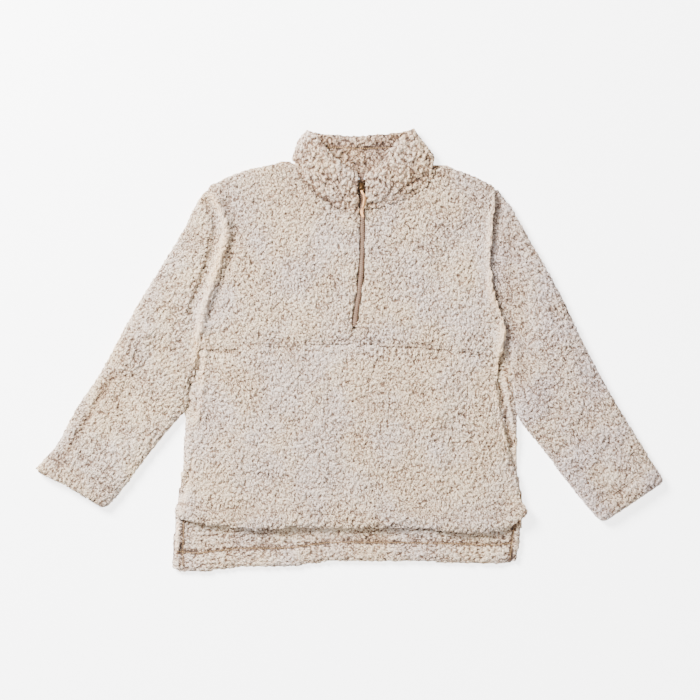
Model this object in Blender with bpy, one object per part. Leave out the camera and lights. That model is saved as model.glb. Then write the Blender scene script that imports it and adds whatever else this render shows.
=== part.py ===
# Sherpa fleece quarter-zip pullover, laid flat on its back.
# Metres. X runs to the right of the picture, Y towards the collar, Z up from the surface it lies on.
# Every panel is a wall of cloth with its pile, worked out from the tables of sizes below.
from collections import namedtuple
from math import cos, hypot, pi, sin

import bmesh
import bpy
from mathutils import Vector

# Driving dimensions
CLOTH = 0.0065              # knit backing with its pile on both faces
SEAM = 0.0003               # gap between sewn pieces
ARMHOLE_GAP = 0.0011        # the same between a sleeve and the curved armhole, whose sections differ
PLAN_CENTRE = (0.0004, -0.0003)         # middle of the outline, which is put over the origin
CELL = 0.030                # spacing of the sections across a panel
EDGE_STEPS = (0.0, 0.0024, 0.0062)      # distance of the first sections from an edge
EDGE_ROUND = (0.30, 0.82, 1.0)          # share of the half thickness left at those sections
FRONT_LIFT = 0.0012         # air between the back and the front
SIDE_SEAM_RISE = 0.0030     # extra height of the front where it overhangs the right sleeve
WELT_RISE = 0.0028          # raised welt along the left armhole
WELT_WIDTH = 0.010
STITCH_DIP = 0.0016         # groove that a row of stitches pulls into the pile
FRONT_HEM = 0.025           # depth of the front's turned hem
HEM_RISE = 0.0016           # a turned hem is thicker by this much
TAIL_HEM = 0.031            # depth of the tail's turned hem
TAIL_RISE = 0.0040          # the tail's hem is turned up on the inside, which shows
CUFF_HEM = 0.030
SLEEVE_AIR = 0.0020         # air between the two layers of a sleeve
ZIP_CHANNEL = 0.0084        # width between the panels along the zip
ZIP_TOP = 0.2940
ZIP_FOOT = 0.0390
TAPE_LOW = 0.0090
TAPE_HIGH = 0.0106
COIL_WIDTH = 0.0046
COIL_HEIGHT = 0.0020
SLIDER_TOP = 0.2790
SLIDER_LENGTH = 0.0125
SLIDER_WIDTH = 0.0080
SLIDER_HEIGHT = 0.0044
PULL_LENGTH = 0.0500
PULL_WIDTH = 0.0064
PULL_THICKNESS = 0.0016
PULL_ROOT = 0.0008          # length of the strap past its hinge
PULL_CLEARANCE = 0.0007     # between the slider and the strap above it

# Outline of the body: the back's two edges, the strip of back that wraps round to the front at each
# side, how far that strip is raised, and the front's two edges
Side = namedtuple("Side", "y left left_strip left_rise right right_strip right_rise front_left front_right")
SIDES = (
    Side(-0.366, -0.2947, 0.0150, 0.0040, 0.2747, 0.0110, 0.0040, -0.2913, 0.2955),
    Side(-0.328, -0.2930, 0.0150, 0.0040, 0.2797, 0.0110, 0.0040, -0.2913, 0.2955),
    Side(-0.300, -0.2920, 0.0150, 0.0040, 0.2840, 0.0110, 0.0040, -0.2913, 0.2950),
    Side(-0.281, -0.2913, 0.0140, 0.0000, 0.2847, 0.0110, 0.0000, -0.2913, 0.2947),
    Side(-0.263, -0.2897, 0.0110, 0.0000, 0.2855, 0.0100, 0.0000, -0.2897, 0.2940),
    Side(-0.250, -0.2872, 0.0100, 0.0000, 0.2855, 0.0100, 0.0000, -0.2872, 0.2900),
    Side(-0.235, -0.2847, 0.0100, 0.0000, 0.2847, 0.0100, 0.0000, -0.2780, 0.2847),
    Side(-0.215, -0.2813, 0.0108, 0.0000, 0.2810, 0.0100, 0.0000, -0.2692, 0.2810),
    Side(-0.198, -0.2781, 0.0116, 0.0060, 0.2781, 0.0100, 0.0000, -0.2655, 0.2775),
    Side(-0.165, -0.2747, 0.0124, 0.0068, 0.2771, 0.0080, 0.0020, -0.2616, 0.2676),
    Side(-0.149, -0.2742, 0.0133, 0.0068, 0.2767, 0.0100, 0.0060, -0.2604, 0.2655),
    Side(-0.129, -0.2739, 0.0149, 0.0068, 0.2767, 0.0144, 0.0068, -0.2585, 0.2611),
    Side(-0.109, -0.2722, 0.0149, 0.0068, 0.2767, 0.0195, 0.0068, -0.2568, 0.2557),
    Side(-0.087, -0.2697, 0.0141, 0.0068, 0.2747, 0.0222, 0.0068, -0.2551, 0.2510),
    Side(-0.064, -0.2673, 0.0141, 0.0068, 0.2714, 0.0215, 0.0068, -0.2527, 0.2484),
    Side(-0.032, -0.2623, 0.0116, 0.0055, 0.2679, 0.0202, 0.0055, -0.2498, 0.2464),
    Side(-0.011, -0.2606, 0.0108, 0.0000, 0.2645, 0.0143, 0.0000, -0.2485, 0.2490),
    Side(0.009, -0.2623, 0.0100, 0.0000, 0.2640, 0.0100, 0.0000, -0.2560, 0.2631),
    Side(0.031, -0.2608, 0.0100, 0.0000, 0.2596, 0.0100, 0.0000, -0.2608, 0.2596),
    Side(0.061, -0.2550, 0.0100, 0.0000, 0.2512, 0.0100, 0.0000, -0.2550, 0.2512),
    Side(0.095, -0.2465, 0.0100, 0.0000, 0.2400, 0.0100, 0.0000, -0.2465, 0.2400),
    Side(0.134, -0.2349, 0.0100, 0.0000, 0.2341, 0.0100, 0.0000, -0.2349, 0.2341),
    Side(0.170, -0.2249, 0.0100, 0.0000, 0.2338, 0.0100, 0.0000, -0.2249, 0.2338),
    Side(0.208, -0.2208, 0.0100, 0.0000, 0.2371, 0.0100, 0.0000, -0.2208, 0.2371),
    Side(0.242, -0.2241, 0.0100, 0.0000, 0.2398, 0.0100, 0.0000, -0.2241, 0.2398),
    Side(0.270, -0.2291, 0.0100, 0.0000, 0.2399, 0.0100, 0.0000, -0.2291, 0.2399),
)

# Edges and seams that cross the body, from left to right
Place = namedtuple("Place", "x y")
TAIL_EDGE = (
    Place(-0.2950, -0.3627), Place(-0.2656, -0.3677), Place(-0.2407, -0.3669), Place(-0.2075, -0.3619),
    Place(-0.1743, -0.3594), Place(-0.1228, -0.3594), Place(-0.0830, -0.3569), Place(-0.0415, -0.3503),
    Place(0.0100, -0.3494), Place(0.0830, -0.3503), Place(0.1328, -0.3511), Place(0.1992, -0.3528),
    Place(0.2490, -0.3544), Place(0.2760, -0.3494),
)
FRONT_EDGE = (
    Place(-0.2920, -0.2755), Place(-0.2789, -0.2805), Place(-0.2473, -0.2880), Place(-0.2058, -0.2922),
    Place(-0.1627, -0.2971), Place(-0.1411, -0.2988), Place(-0.0996, -0.2922), Place(-0.0564, -0.2955),
    Place(0.0000, -0.2947), Place(0.0847, -0.2930), Place(0.1262, -0.2955), Place(0.1693, -0.3013),
    Place(0.2108, -0.3029), Place(0.2390, -0.3013), Place(0.2689, -0.2930), Place(0.2822, -0.2830),
    Place(0.2955, -0.2700),
)
CHEST_SEAM = (
    Place(-0.2573, 0.0042), Place(-0.2125, 0.0033), Place(-0.1726, 0.0075), Place(-0.1046, 0.0100),
    Place(-0.0498, 0.0133), Place(0.0000, 0.0149), Place(0.0365, 0.0124), Place(0.0764, 0.0091),
    Place(0.1262, 0.0066), Place(0.1660, 0.0025), Place(0.2191, -0.0058), Place(0.2590, -0.0124),
)
BACK_TOP = (
    Place(-0.2291, 0.2700), Place(-0.2141, 0.2830), Place(-0.1859, 0.2963), Place(-0.1560, 0.3038),
    Place(-0.1311, 0.3088), Place(-0.1079, 0.3121), Place(-0.1000, 0.3138), Place(-0.0830, 0.3029),
    Place(-0.0498, 0.2930), Place(0.0000, 0.2872), Place(0.0498, 0.2890), Place(0.0996, 0.2975),
    Place(0.1328, 0.3090), Place(0.1440, 0.3138), Place(0.1560, 0.3096), Place(0.1859, 0.2971),
    Place(0.2224, 0.2830), Place(0.2399, 0.2700),
)
LEFT_TOP = (
    Place(-0.2291, 0.2700), Place(-0.2141, 0.2830), Place(-0.1859, 0.2963), Place(-0.1560, 0.3038),
    Place(-0.1311, 0.3088), Place(-0.1079, 0.3121), Place(-0.0990, 0.3136), Place(-0.0880, 0.3007),
    Place(-0.0764, 0.2824), Place(-0.0598, 0.2658), Place(-0.0415, 0.2525), Place(-0.0199, 0.2393),
    Place(0.0000, 0.2310), Place(0.0160, 0.2277),
)
RIGHT_TOP = (
    Place(0.0244, 0.2355), Place(0.0498, 0.2409), Place(0.0714, 0.2476), Place(0.0963, 0.2559),
    Place(0.1215, 0.2667), Place(0.1367, 0.2808), Place(0.1448, 0.2990), Place(0.1450, 0.3136),
    Place(0.1560, 0.3096), Place(0.1859, 0.2971), Place(0.2224, 0.2830), Place(0.2399, 0.2700),
)
ZIP_LINE = (
    Place(0.0191, 0.2963), Place(0.0191, 0.2664), Place(0.0204, 0.2249), Place(0.0208, 0.1834),
    Place(0.0191, 0.1336), Place(0.0149, 0.0921), Place(0.0100, 0.0639), Place(0.0075, 0.0390),
    Place(0.0060, 0.0120),
)

# Edges of the sleeves, from the body to the cuff
LEFT_OUTER = (
    Place(-0.2296, 0.2712), Place(-0.2490, 0.2430), Place(-0.2756, 0.2000), Place(-0.3104, 0.1436),
    Place(-0.3370, 0.1004), Place(-0.3619, 0.0589), Place(-0.4001, -0.0124), Place(-0.4482, -0.0971),
    Place(-0.4814, -0.1502), Place(-0.5196, -0.1959),
)
LEFT_INNER = (
    Place(-0.2668, -0.0550), Place(-0.2700, -0.0706), Place(-0.2780, -0.1020), Place(-0.2955, -0.1237),
    Place(-0.3154, -0.1477), Place(-0.3469, -0.1876), Place(-0.3801, -0.2332), Place(-0.3951, -0.2498),
    Place(-0.4075, -0.2615),
)
RIGHT_OUTER = (
    Place(0.2404, 0.2712), Place(0.2673, 0.2374), Place(0.2938, 0.1901), Place(0.3171, 0.1502),
    Place(0.3411, 0.1077), Place(0.3652, 0.0589), Place(0.3884, 0.0098), Place(0.4349, -0.0764),
    Place(0.4897, -0.1665), Place(0.5204, -0.2166),
)
RIGHT_INNER = (
    Place(0.2735, -0.0700), Place(0.2765, -0.0910), Place(0.2815, -0.1120), Place(0.2905, -0.1270),
    Place(0.3137, -0.1547), Place(0.3453, -0.1939), Place(0.3843, -0.2370), Place(0.4017, -0.2615),
    Place(0.4200, -0.2847),
)

# Collar, from the left edge of the zip round the neck to its right edge: the neck seam, the top edge,
# and the height of the middle of the cloth at each
Rib = namedtuple("Rib", "x y z top_x top_y top_z")
COLLAR = (
    Rib(0.0141, 0.2294, 0.0115, 0.0141, 0.2930, 0.0160),
    Rib(0.0000, 0.2328, 0.0115, 0.0040, 0.2975, 0.0185),
    Rib(-0.0199, 0.2411, 0.0115, -0.0075, 0.3054, 0.0205),
    Rib(-0.0415, 0.2543, 0.0115, -0.0240, 0.3179, 0.0220),
    Rib(-0.0595, 0.2678, 0.0115, -0.0390, 0.3335, 0.0228),
    Rib(-0.0755, 0.2846, 0.0118, -0.0500, 0.3485, 0.0228),
    Rib(-0.0860, 0.3030, 0.0122, -0.0585, 0.3590, 0.0205),
    Rib(-0.0905, 0.3138, 0.0122, -0.0635, 0.3622, 0.0170),
    Rib(-0.0945, 0.3162, 0.0079, -0.0680, 0.3640, 0.0100),
    Rib(-0.0905, 0.3130, 0.0034, -0.0635, 0.3618, 0.0036),
    Rib(-0.0798, 0.3065, 0.0033, -0.0520, 0.3600, 0.0034),
    Rib(-0.0498, 0.2945, 0.0033, -0.0300, 0.3575, 0.0034),
    Rib(-0.0150, 0.2895, 0.0033, -0.0080, 0.3565, 0.0034),
    Rib(0.0191, 0.2885, 0.0033, 0.0150, 0.3560, 0.0034),
    Rib(0.0550, 0.2910, 0.0033, 0.0400, 0.3570, 0.0034),
    Rib(0.0950, 0.2984, 0.0033, 0.0670, 0.3600, 0.0034),
    Rib(0.1240, 0.3082, 0.0033, 0.0860, 0.3625, 0.0034),
    Rib(0.1345, 0.3142, 0.0034, 0.0975, 0.3640, 0.0036),
    Rib(0.1392, 0.3170, 0.0079, 0.1030, 0.3665, 0.0100),
    Rib(0.1358, 0.3138, 0.0122, 0.0985, 0.3640, 0.0170),
    Rib(0.1390, 0.3000, 0.0122, 0.0925, 0.3600, 0.0205),
    Rib(0.1325, 0.2834, 0.0118, 0.0815, 0.3520, 0.0228),
    Rib(0.1188, 0.2693, 0.0115, 0.0700, 0.3370, 0.0228),
    Rib(0.0958, 0.2583, 0.0115, 0.0570, 0.3150, 0.0215),
    Rib(0.0710, 0.2498, 0.0115, 0.0440, 0.3010, 0.0200),
    Rib(0.0498, 0.2430, 0.0115, 0.0330, 0.2980, 0.0180),
    Rib(0.0243, 0.2372, 0.0115, 0.0243, 0.2950, 0.0160),
)
COLLAR_ROUNDS = 7           # sections between the neck seam and the top edge
COLLAR_BULGE = 0.0030       # the collar swells outwards between its two edges
COLLAR_SPREAD = 1           # sections between one row of the table and the next

# Largest soft creases: where each starts and ends, its width and its height, a trough if below nought
Crease = namedtuple("Crease", "x0 y0 x1 y1 width height")
CREASES = (
    Crease(-0.215, 0.215, -0.090, 0.095, 0.030, -0.0012),
    Crease(0.215, 0.230, 0.110, 0.120, 0.030, -0.0012),
    Crease(-0.190, -0.030, -0.080, -0.170, 0.034, 0.0010),
    Crease(0.190, -0.060, 0.060, -0.190, 0.036, 0.0011),
    Crease(-0.240, -0.130, -0.130, -0.240, 0.028, -0.0010),
    Crease(0.020, -0.110, 0.050, -0.250, 0.036, -0.0009),
    Crease(-0.060, 0.180, -0.150, 0.060, 0.030, 0.0011),
    Crease(0.100, 0.190, 0.170, 0.060, 0.030, 0.0010),
    Crease(-0.300, 0.090, -0.370, 0.000, 0.022, 0.0016),
    Crease(-0.280, 0.020, -0.330, -0.080, 0.018, -0.0014),
    Crease(-0.400, -0.080, -0.440, -0.170, 0.020, 0.0013),
    Crease(0.290, 0.120, 0.350, 0.000, 0.022, 0.0016),
    Crease(0.300, 0.000, 0.350, -0.100, 0.018, -0.0014),
    Crease(0.400, -0.070, 0.450, -0.170, 0.020, 0.0013),
    Crease(-0.120, -0.305, -0.060, -0.250, 0.020, 0.0012),
    Crease(0.150, -0.305, 0.170, -0.240, 0.022, 0.0014),
)


def ease(value, low, high):
    """Share of the way from low to high, with a soft start and end."""
    share = min(max((value - low) / (high - low), 0.0), 1.0)
    return share * share * (3.0 - 2.0 * share)


def blend(a, b, share):
    return a + (b - a) * share


def through(keys, values, key):
    """Value at key on a smooth curve through the table."""
    last = len(keys) - 1
    key = min(max(key, keys[0]), keys[last])
    index = 0
    while index < last - 1 and key > keys[index + 1]:
        index += 1
    before, after = max(index - 1, 0), min(index + 2, last)
    step = keys[index + 1] - keys[index]
    share = (key - keys[index]) / step
    slope_in = (values[index + 1] - values[before]) / (keys[index + 1] - keys[before]) * step
    slope_out = (values[after] - values[index]) / (keys[after] - keys[index]) * step
    square, cube = share * share, share * share * share
    return (values[index] * (2.0 * cube - 3.0 * square + 1.0) + slope_in * (cube - 2.0 * square + share)
            + values[index + 1] * (3.0 * square - 2.0 * cube) + slope_out * (cube - square))


def side(name, y):
    """One column of the outline's table at a height y of the body."""
    return through([row.y for row in SIDES], [getattr(row, name) for row in SIDES], y)


def level(table, x):
    """Y of an edge or seam that crosses the body."""
    return through([row.x for row in table], [row.y for row in table], x)


def zip_x(y):
    rows = ZIP_LINE[::-1]
    return through([row.y for row in rows], [row.x for row in rows], y)


def trail(table):
    """Point at a share of the length of an edge, on a smooth curve through its places."""
    reach = [0.0]
    for first, second in zip(table, table[1:]):
        reach.append(reach[-1] + hypot(second.x - first.x, second.y - first.y))
    xs, ys = [row.x for row in table], [row.y for row in table]

    def at(share):
        return Vector((through(reach, xs, share * reach[-1]), through(reach, ys, share * reach[-1])))
    return at


def patch(bottom, top, left, right):
    """Point of a panel between its four edges."""
    def at(u, v):
        across = bottom(u) * (1.0 - v) + top(u) * v
        along = left(v) * (1.0 - u) + right(v) * u
        low = bottom(0.0) * (1.0 - u) + bottom(1.0) * u
        high = top(0.0) * (1.0 - u) + top(1.0) * u
        return across + along - low * (1.0 - v) - high * v
    return at


def stations(length, first=(), last=(), cell=CELL):
    """Distances of the sections along a length, closer at its two ends."""
    start = list(first) or list(EDGE_STEPS)
    end = [length - step for step in (list(last) or list(EDGE_STEPS))]
    room = end[-1] - start[-1]
    count = max(round(room / cell), 1)
    middle = [start[-1] + room * step / count for step in range(1, count)]
    return start + middle + end[::-1]


def rounding(index, count):
    """Share of the half thickness at a section, less at the two ends."""
    near = min(index, count - 1 - index)
    return EDGE_ROUND[near] if near < len(EDGE_ROUND) else 1.0


def crease_height(x, y):
    height = 0.0
    for crease in CREASES:
        run = Vector((crease.x1 - crease.x0, crease.y1 - crease.y0))
        place = Vector((x - crease.x0, y - crease.y0))
        share = place.dot(run) / run.length_squared
        off = (place - run * share).length / crease.width
        height += crease.height * max(1.0 - off * off, 0.0) ** 2 * ease(share, -0.2, 0.3) * ease(share, 1.2, 0.7)
    return height


def finish(name, mesh_maker, color, roughness, metallic=0.0):
    """Object of a finished bmesh, with its own material."""
    bmesh.ops.recalc_face_normals(mesh_maker, faces=mesh_maker.faces)
    mesh = bpy.data.meshes.new(name)
    mesh_maker.to_mesh(mesh)
    mesh_maker.free()
    mesh.shade_smooth()
    mesh.set_sharp_from_angle(angle=1.0)
    material = bpy.data.materials.new(name + "_finish")
    material.use_nodes = True
    shader = material.node_tree.nodes["Principled BSDF"]
    shader.inputs["Base Color"].default_value = (*color, 1.0)
    shader.inputs["Roughness"].default_value = roughness
    shader.inputs["Metallic"].default_value = metallic
    mesh.materials.append(material)
    made = bpy.data.objects.new(name, mesh)
    bpy.context.scene.collection.objects.link(made)
    return made


def grid(mesh_maker, columns, rows, place):
    """Sheet of columns by rows points, as a table of its vertices."""
    made = bmesh.ops.create_grid(mesh_maker, x_segments=columns - 1, y_segments=rows - 1, size=1.0)
    table = {}
    for vert in made["verts"]:
        column = round((vert.co.x + 1.0) * (columns - 1) / 2.0)
        row = round((vert.co.y + 1.0) * (rows - 1) / 2.0)
        table[row, column] = vert
    for (row, column), vert in table.items():
        vert.co = place(row, column)
    return table


def rim(mesh_maker, outer, inner, path):
    """Faces that close the wall between its two skins along a path of sections."""
    for here, following in zip(path, path[1:]):
        mesh_maker.faces.new((outer[here], outer[following], inner[following], inner[here]))


def wall(name, columns, rows, outer, inner, color, roughness=0.95):
    """Closed wall between two open skins."""
    mesh_maker = bmesh.new()
    skin_out = grid(mesh_maker, columns, rows, outer)
    skin_in = grid(mesh_maker, columns, rows, inner)
    path = [(0, column) for column in range(columns)]
    path += [(row, columns - 1) for row in range(1, rows)]
    path += [(rows - 1, column) for column in range(columns - 2, -1, -1)]
    path += [(row, 0) for row in range(rows - 2, -1, -1)]
    rim(mesh_maker, skin_out, skin_in, path)
    return finish(name, mesh_maker, color, roughness)


def tube(name, columns, rows, outer, inner, color, roughness=0.95):
    """Closed wall of a tube that is open at both ends."""
    mesh_maker = bmesh.new()
    skins = [grid(mesh_maker, columns + 1, rows, place) for place in (outer, inner)]
    joins = {skin[row, columns]: skin[row, 0] for skin in skins for row in range(rows)}
    bmesh.ops.weld_verts(mesh_maker, targetmap=joins)
    for row in (0, rows - 1):
        path = [(row, column % columns) for column in range(columns + 1)]
        rim(mesh_maker, skins[0], skins[1], path)
    return finish(name, mesh_maker, color, roughness)


def panel(name, plan, across, along, low, high, color):
    """Panel of cloth whose edges are rounded: plan gives x and y, low and high the two faces."""
    columns, rows = len(across), len(along)

    def face(row, column, share):
        x, y = plan(across[column], along[row])
        bottom, top = low(x, y), high(x, y)
        middle = (bottom + top) / 2.0
        swell = rounding(row, rows) * rounding(column, columns)
        return Vector((x, y, middle + (top - bottom) / 2.0 * share * swell))
    return wall(name, columns, rows, lambda row, column: face(row, column, 1.0),
                lambda row, column: face(row, column, -1.0), color)


FLEECE = (0.655, 0.590, 0.530)
FLEECE_INSIDE = (0.520, 0.440, 0.370)
LEATHER = (0.470, 0.300, 0.180)
BRASS = (0.480, 0.330, 0.180)
TAPE = (0.430, 0.340, 0.260)


def build_back():
    """Back panel, with the strips that wrap round its sides and its turned-up hem and vent edges."""
    width = 0.54
    inner = stations(width, first=(0.0,), last=(0.0,))[1:-1]
    side_steps = 5
    columns = side_steps * 2 + len(inner)
    along = stations(0.66, first=EDGE_STEPS + (0.016, TAIL_HEM - 0.003, TAIL_HEM, TAIL_HEM + 0.003))
    rows = len(along)
    length = along[-1]

    def strip(row_side, y, step):
        wide = max(side(row_side + "_strip", y), 0.009)
        return (0.0, 0.0024, wide * 0.55, wide - 0.0012, wide)[step]

    def place(row, column):
        v = along[row] / length
        left_y = blend(level(TAIL_EDGE, SIDES[0].left), SIDES[-1].y, v)
        right_y = blend(level(TAIL_EDGE, SIDES[0].right), SIDES[-1].y, v)
        left, right = side("left", left_y), side("right", right_y)
        rise = 0.0
        if column < side_steps:
            x = left + strip("left", left_y, column)
            rise = side("left_rise", left_y) * (0.5, 0.9, 1.0, 0.9, 0.0)[column]
            swell = (0.30, 0.82, 1.0, 1.0, 1.0)[column]
        elif column >= columns - side_steps:
            step = columns - 1 - column
            x = right - strip("right", right_y, step)
            rise = side("right_rise", right_y) * (0.5, 0.9, 1.0, 0.9, 0.0)[step]
            swell = (0.30, 0.82, 1.0, 1.0, 1.0)[step]
        else:
            start = left + strip("left", left_y, side_steps - 1)
            end = right - strip("right", right_y, side_steps - 1)
            x = blend(start, end, inner[column - side_steps] / width)
            swell = 1.0
        y = blend(level(TAIL_EDGE, x), level(BACK_TOP, x), v)
        return x, y, max(rise, 0.0), swell * rounding(row, rows)

    def hem_rise(row, rise):
        off = along[row]
        if off >= TAIL_HEM:
            return rise
        return max(rise, TAIL_RISE * ease(off, -0.004, 0.006) * (1.0 - 0.8 * ease(off, TAIL_HEM - 0.004, TAIL_HEM)))

    def upper(row, column):
        x, y, rise, swell = place(row, column)
        top = CLOTH + hem_rise(row, rise)
        return Vector((x, y, CLOTH / 2.0 + (top - CLOTH / 2.0) * swell))

    def lower(row, column):
        x, y, rise, swell = place(row, column)
        return Vector((x, y, CLOTH / 2.0 * (1.0 - swell)))
    return wall("back", columns, rows, upper, lower, FLEECE_INSIDE)


def front_low(x, y):
    """Underside of the front, lying on the back with a little air."""
    left, right = side("front_left", y), side("front_right", y)
    inside = ease(x, left, left + 0.06) * ease(x, right, right - 0.05)
    lift = FRONT_LIFT * inside + crease_height(x, y) * inside
    overhang = SIDE_SEAM_RISE * ease(x, right - 0.030, right - 0.004) * ease(y, -0.02, 0.03)
    corner = 0.0080 * ease(x, 0.262, 0.300) * ease(y, -0.235, -0.275)
    hem = 0.0016 * ease(y, -0.250, -0.290) * (1.0 + sin(x * 42.0))
    return CLOTH + SEAM + max(lift, 0.0) + overhang + corner + hem


def build_front_lower():
    """Lower front, from the chest seam to the turned hem."""
    bands = EDGE_STEPS + (0.015, FRONT_HEM - 0.0035, FRONT_HEM, FRONT_HEM + 0.0035)
    along = stations(0.30, first=bands)
    across = stations(0.54)

    def plan(u, v):
        share, height = u / across[-1], v / along[-1]
        left_y = blend(level(FRONT_EDGE, -0.2913), level(CHEST_SEAM, -0.2493), height)
        right_y = blend(level(FRONT_EDGE, 0.2940), level(CHEST_SEAM, 0.2490), height)
        x = blend(side("front_left", left_y), side("front_right", right_y), share)
        return x, blend(level(FRONT_EDGE, x), level(CHEST_SEAM, x) - SEAM / 2.0, height)

    def high(x, y):
        off = y - level(FRONT_EDGE, x)
        band = HEM_RISE * (1.0 - ease(off, FRONT_HEM - 0.003, FRONT_HEM + 0.001))
        dip = STITCH_DIP * max(1.0 - abs(off - FRONT_HEM) / 0.004, 0.0)
        return front_low(x, y) + CLOTH + band - dip
    return panel("front_lower", plan, across, along, front_low, high, FLEECE)


def zip_gap(y):
    """Half the distance between the two upper fronts."""
    return blend(SEAM / 2.0, ZIP_CHANNEL / 2.0, ease(y, ZIP_FOOT - 0.006, ZIP_FOOT + 0.006))


def upper_high(x, y):
    welt = x - side("left", y) - WELT_WIDTH * 0.5
    ridge = WELT_RISE * max(1.0 - (welt / WELT_WIDTH) ** 2, 0.0) * ease(y, -0.02, 0.03)
    return front_low(x, y) + CLOTH + ridge


def build_front_upper(left):
    """One upper front, between the armhole and the zip."""
    sign = -1.0 if left else 1.0
    edge_name = "left" if left else "right"
    top = LEFT_TOP if left else RIGHT_TOP
    armhole_x = top[0].x if left else top[-1].x
    armhole_y = top[0].y if left else top[-1].y
    neck_y = top[-1].y if left else top[0].y
    corner = side("front_" + edge_name, level(CHEST_SEAM, side("front_" + edge_name, 0.0)))
    foot = level(CHEST_SEAM, 0.0060) + SEAM / 2.0

    def chest(x):
        return Vector((x, level(CHEST_SEAM, x) + SEAM / 2.0))

    def zip_side(v):
        y = blend(foot, neck_y, v)
        return Vector((zip_x(y) + sign * zip_gap(y), y))

    def armhole(v):
        y = blend(chest(corner).y, armhole_y, v)
        return Vector((blend(corner, side("front_" + edge_name, y), ease(v, 0.0, 0.02)), y))
    top_edge = trail(top)
    zip_foot = zip_side(0.0).x
    if left:
        at = patch(lambda u: chest(blend(corner, zip_foot, u)), top_edge, armhole, zip_side)
    else:
        at = patch(lambda u: chest(blend(zip_foot, corner, u)), top_edge, zip_side, armhole)
    across = stations(0.27)
    along = stations(0.25)
    plan = lambda u, v: at(u / across[-1], v / along[-1])
    return panel("front_upper_" + edge_name, plan, across, along, front_low, upper_high, FLEECE)


def build_sleeve(left):
    """One sleeve, a flattened tube from the armhole to the turned cuff."""
    edge_name = "left" if left else "right"
    sign = -1.0 if left else 1.0
    outer_table = LEFT_OUTER if left else RIGHT_OUTER
    inner_table = LEFT_INNER if left else RIGHT_INNER

    def armhole(u):
        y = blend(outer_table[0].y, inner_table[0].y, u)
        return Vector((side(edge_name, y) + sign * ARMHOLE_GAP, y))
    outer_edge = trail((Place(*armhole(0.0)),) + outer_table[1:])
    inner_edge = trail((Place(*armhole(1.0)),) + inner_table[1:])

    def cuff(u):
        return outer_edge(1.0).lerp(inner_edge(1.0), u)
    at = patch(armhole, cuff, outer_edge, inner_edge)
    length = 0.50
    bands = EDGE_STEPS + (0.016, CUFF_HEM - 0.0035, CUFF_HEM, CUFF_HEM + 0.0035)
    along = stations(length, last=bands)
    rows = len(along)
    flat = stations(1.0, first=(0.0,), last=(0.0,), cell=0.105)[1:-1]
    edge = ((0.0, 0.0), (0.0024, 0.72), (0.0070, 1.0))
    top_run = [(0, off, lift) for off, lift in edge] + [(2, share, 1.0) for share in flat]
    top_run += [(1, off, lift) for off, lift in edge[::-1]]
    low_run = [(kind, off, -lift) for kind, off, lift in top_run[1:-1][::-1]]
    loop = top_run + low_run
    columns = len(loop)

    def section(row, column, inside):
        kind, off, lift = loop[column % columns]
        v = along[row] / length
        start, end = at(0.0, v), at(1.0, v)
        width = (end - start).length
        wall_step = CLOTH if inside else 0.0
        margin = 0.0070 + (0.0040 if inside else 0.0)
        if kind == 2:
            share = blend(margin, width - margin, off) / width
        else:
            inset = (wall_step + off * (0.64 if inside else 1.0)) / width
            share = inset if kind == 0 else 1.0 - inset
        x, y = at(share, v)
        off_cuff = length - along[row]
        puff = SLEEVE_AIR * ease(share, 0.0, 0.2) * ease(share, 1.0, 0.8)
        puff += max(crease_height(x, y), -0.0012) * ease(share, 0.0, 0.15) * ease(share, 1.0, 0.85)
        total = CLOTH * 2.0 + 0.0012 + puff
        band = HEM_RISE * (1.0 - ease(off_cuff, CUFF_HEM - 0.003, CUFF_HEM + 0.001))
        dip = STITCH_DIP * max(1.0 - abs(off_cuff - CUFF_HEM) / 0.004, 0.0)
        total += band - dip
        outside_z = total / 2.0 * (1.0 + lift)
        slit = max(total / 2.0 - CLOTH - band / 2.0, 0.0004)
        inside_z = total / 2.0 + slit * lift
        face = inside_z if inside else outside_z
        other = outside_z if inside else inside_z
        keep = (1.0 + rounding(row, rows)) / 2.0
        return Vector((x, y, other + (face - other) * keep))
    return tube("sleeve_" + edge_name, columns, rows, lambda row, column: section(row, column, False),
                lambda row, column: section(row, column, True), FLEECE)


def build_collar():
    """Stand collar, one strip round the neck, with its thickness set square to it."""
    ribs = []
    for index in range(len(COLLAR) - 1):
        for step in range(COLLAR_SPREAD):
            ribs.append(index + step / COLLAR_SPREAD)
    ribs.append(float(len(COLLAR) - 1))
    ribs = [0.0, 0.10, 0.35] + ribs[1:-1] + [ribs[-1] - 0.35, ribs[-1] - 0.10, ribs[-1]]
    ribs = sorted(set(ribs))
    keys = list(range(len(COLLAR)))
    columns = len(ribs)
    height = [0.0, 0.04, 0.10] + [0.10 + 0.80 * step / (COLLAR_ROUNDS - 1) for step in range(1, COLLAR_ROUNDS - 1)]
    height += [0.90, 0.96, 1.0]
    rows = len(height)

    def column_value(name, rib):
        return through(keys, [getattr(row, name) for row in COLLAR], rib)

    def middle(rib, t):
        low = Vector([column_value(name, rib) for name in ("x", "y", "z")])
        high = Vector([column_value(name, rib) for name in ("top_x", "top_y", "top_z")])
        point = low.lerp(high, t)
        front = ease(low.z, 0.006, 0.011)
        point.z += COLLAR_BULGE * sin(pi * t) * front
        return point

    def normal(rib, t):
        step = 0.05
        first, second = max(rib - step, 0.0), min(rib + step, keys[-1])
        along = middle(second, t) - middle(first, t)
        up = middle(rib, min(t + step, 1.0)) - middle(rib, max(t - step, 0.0))
        return up.cross(along).normalized()

    def face(row, column, share):
        swell = rounding(row, rows) * rounding(column, columns)
        rib, t = ribs[column], height[row]
        return middle(rib, t) + normal(rib, t) * (CLOTH / 2.0 * share * swell)
    return wall("collar", columns, rows, lambda row, column: face(row, column, 1.0),
                lambda row, column: face(row, column, -1.0), FLEECE)


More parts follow.
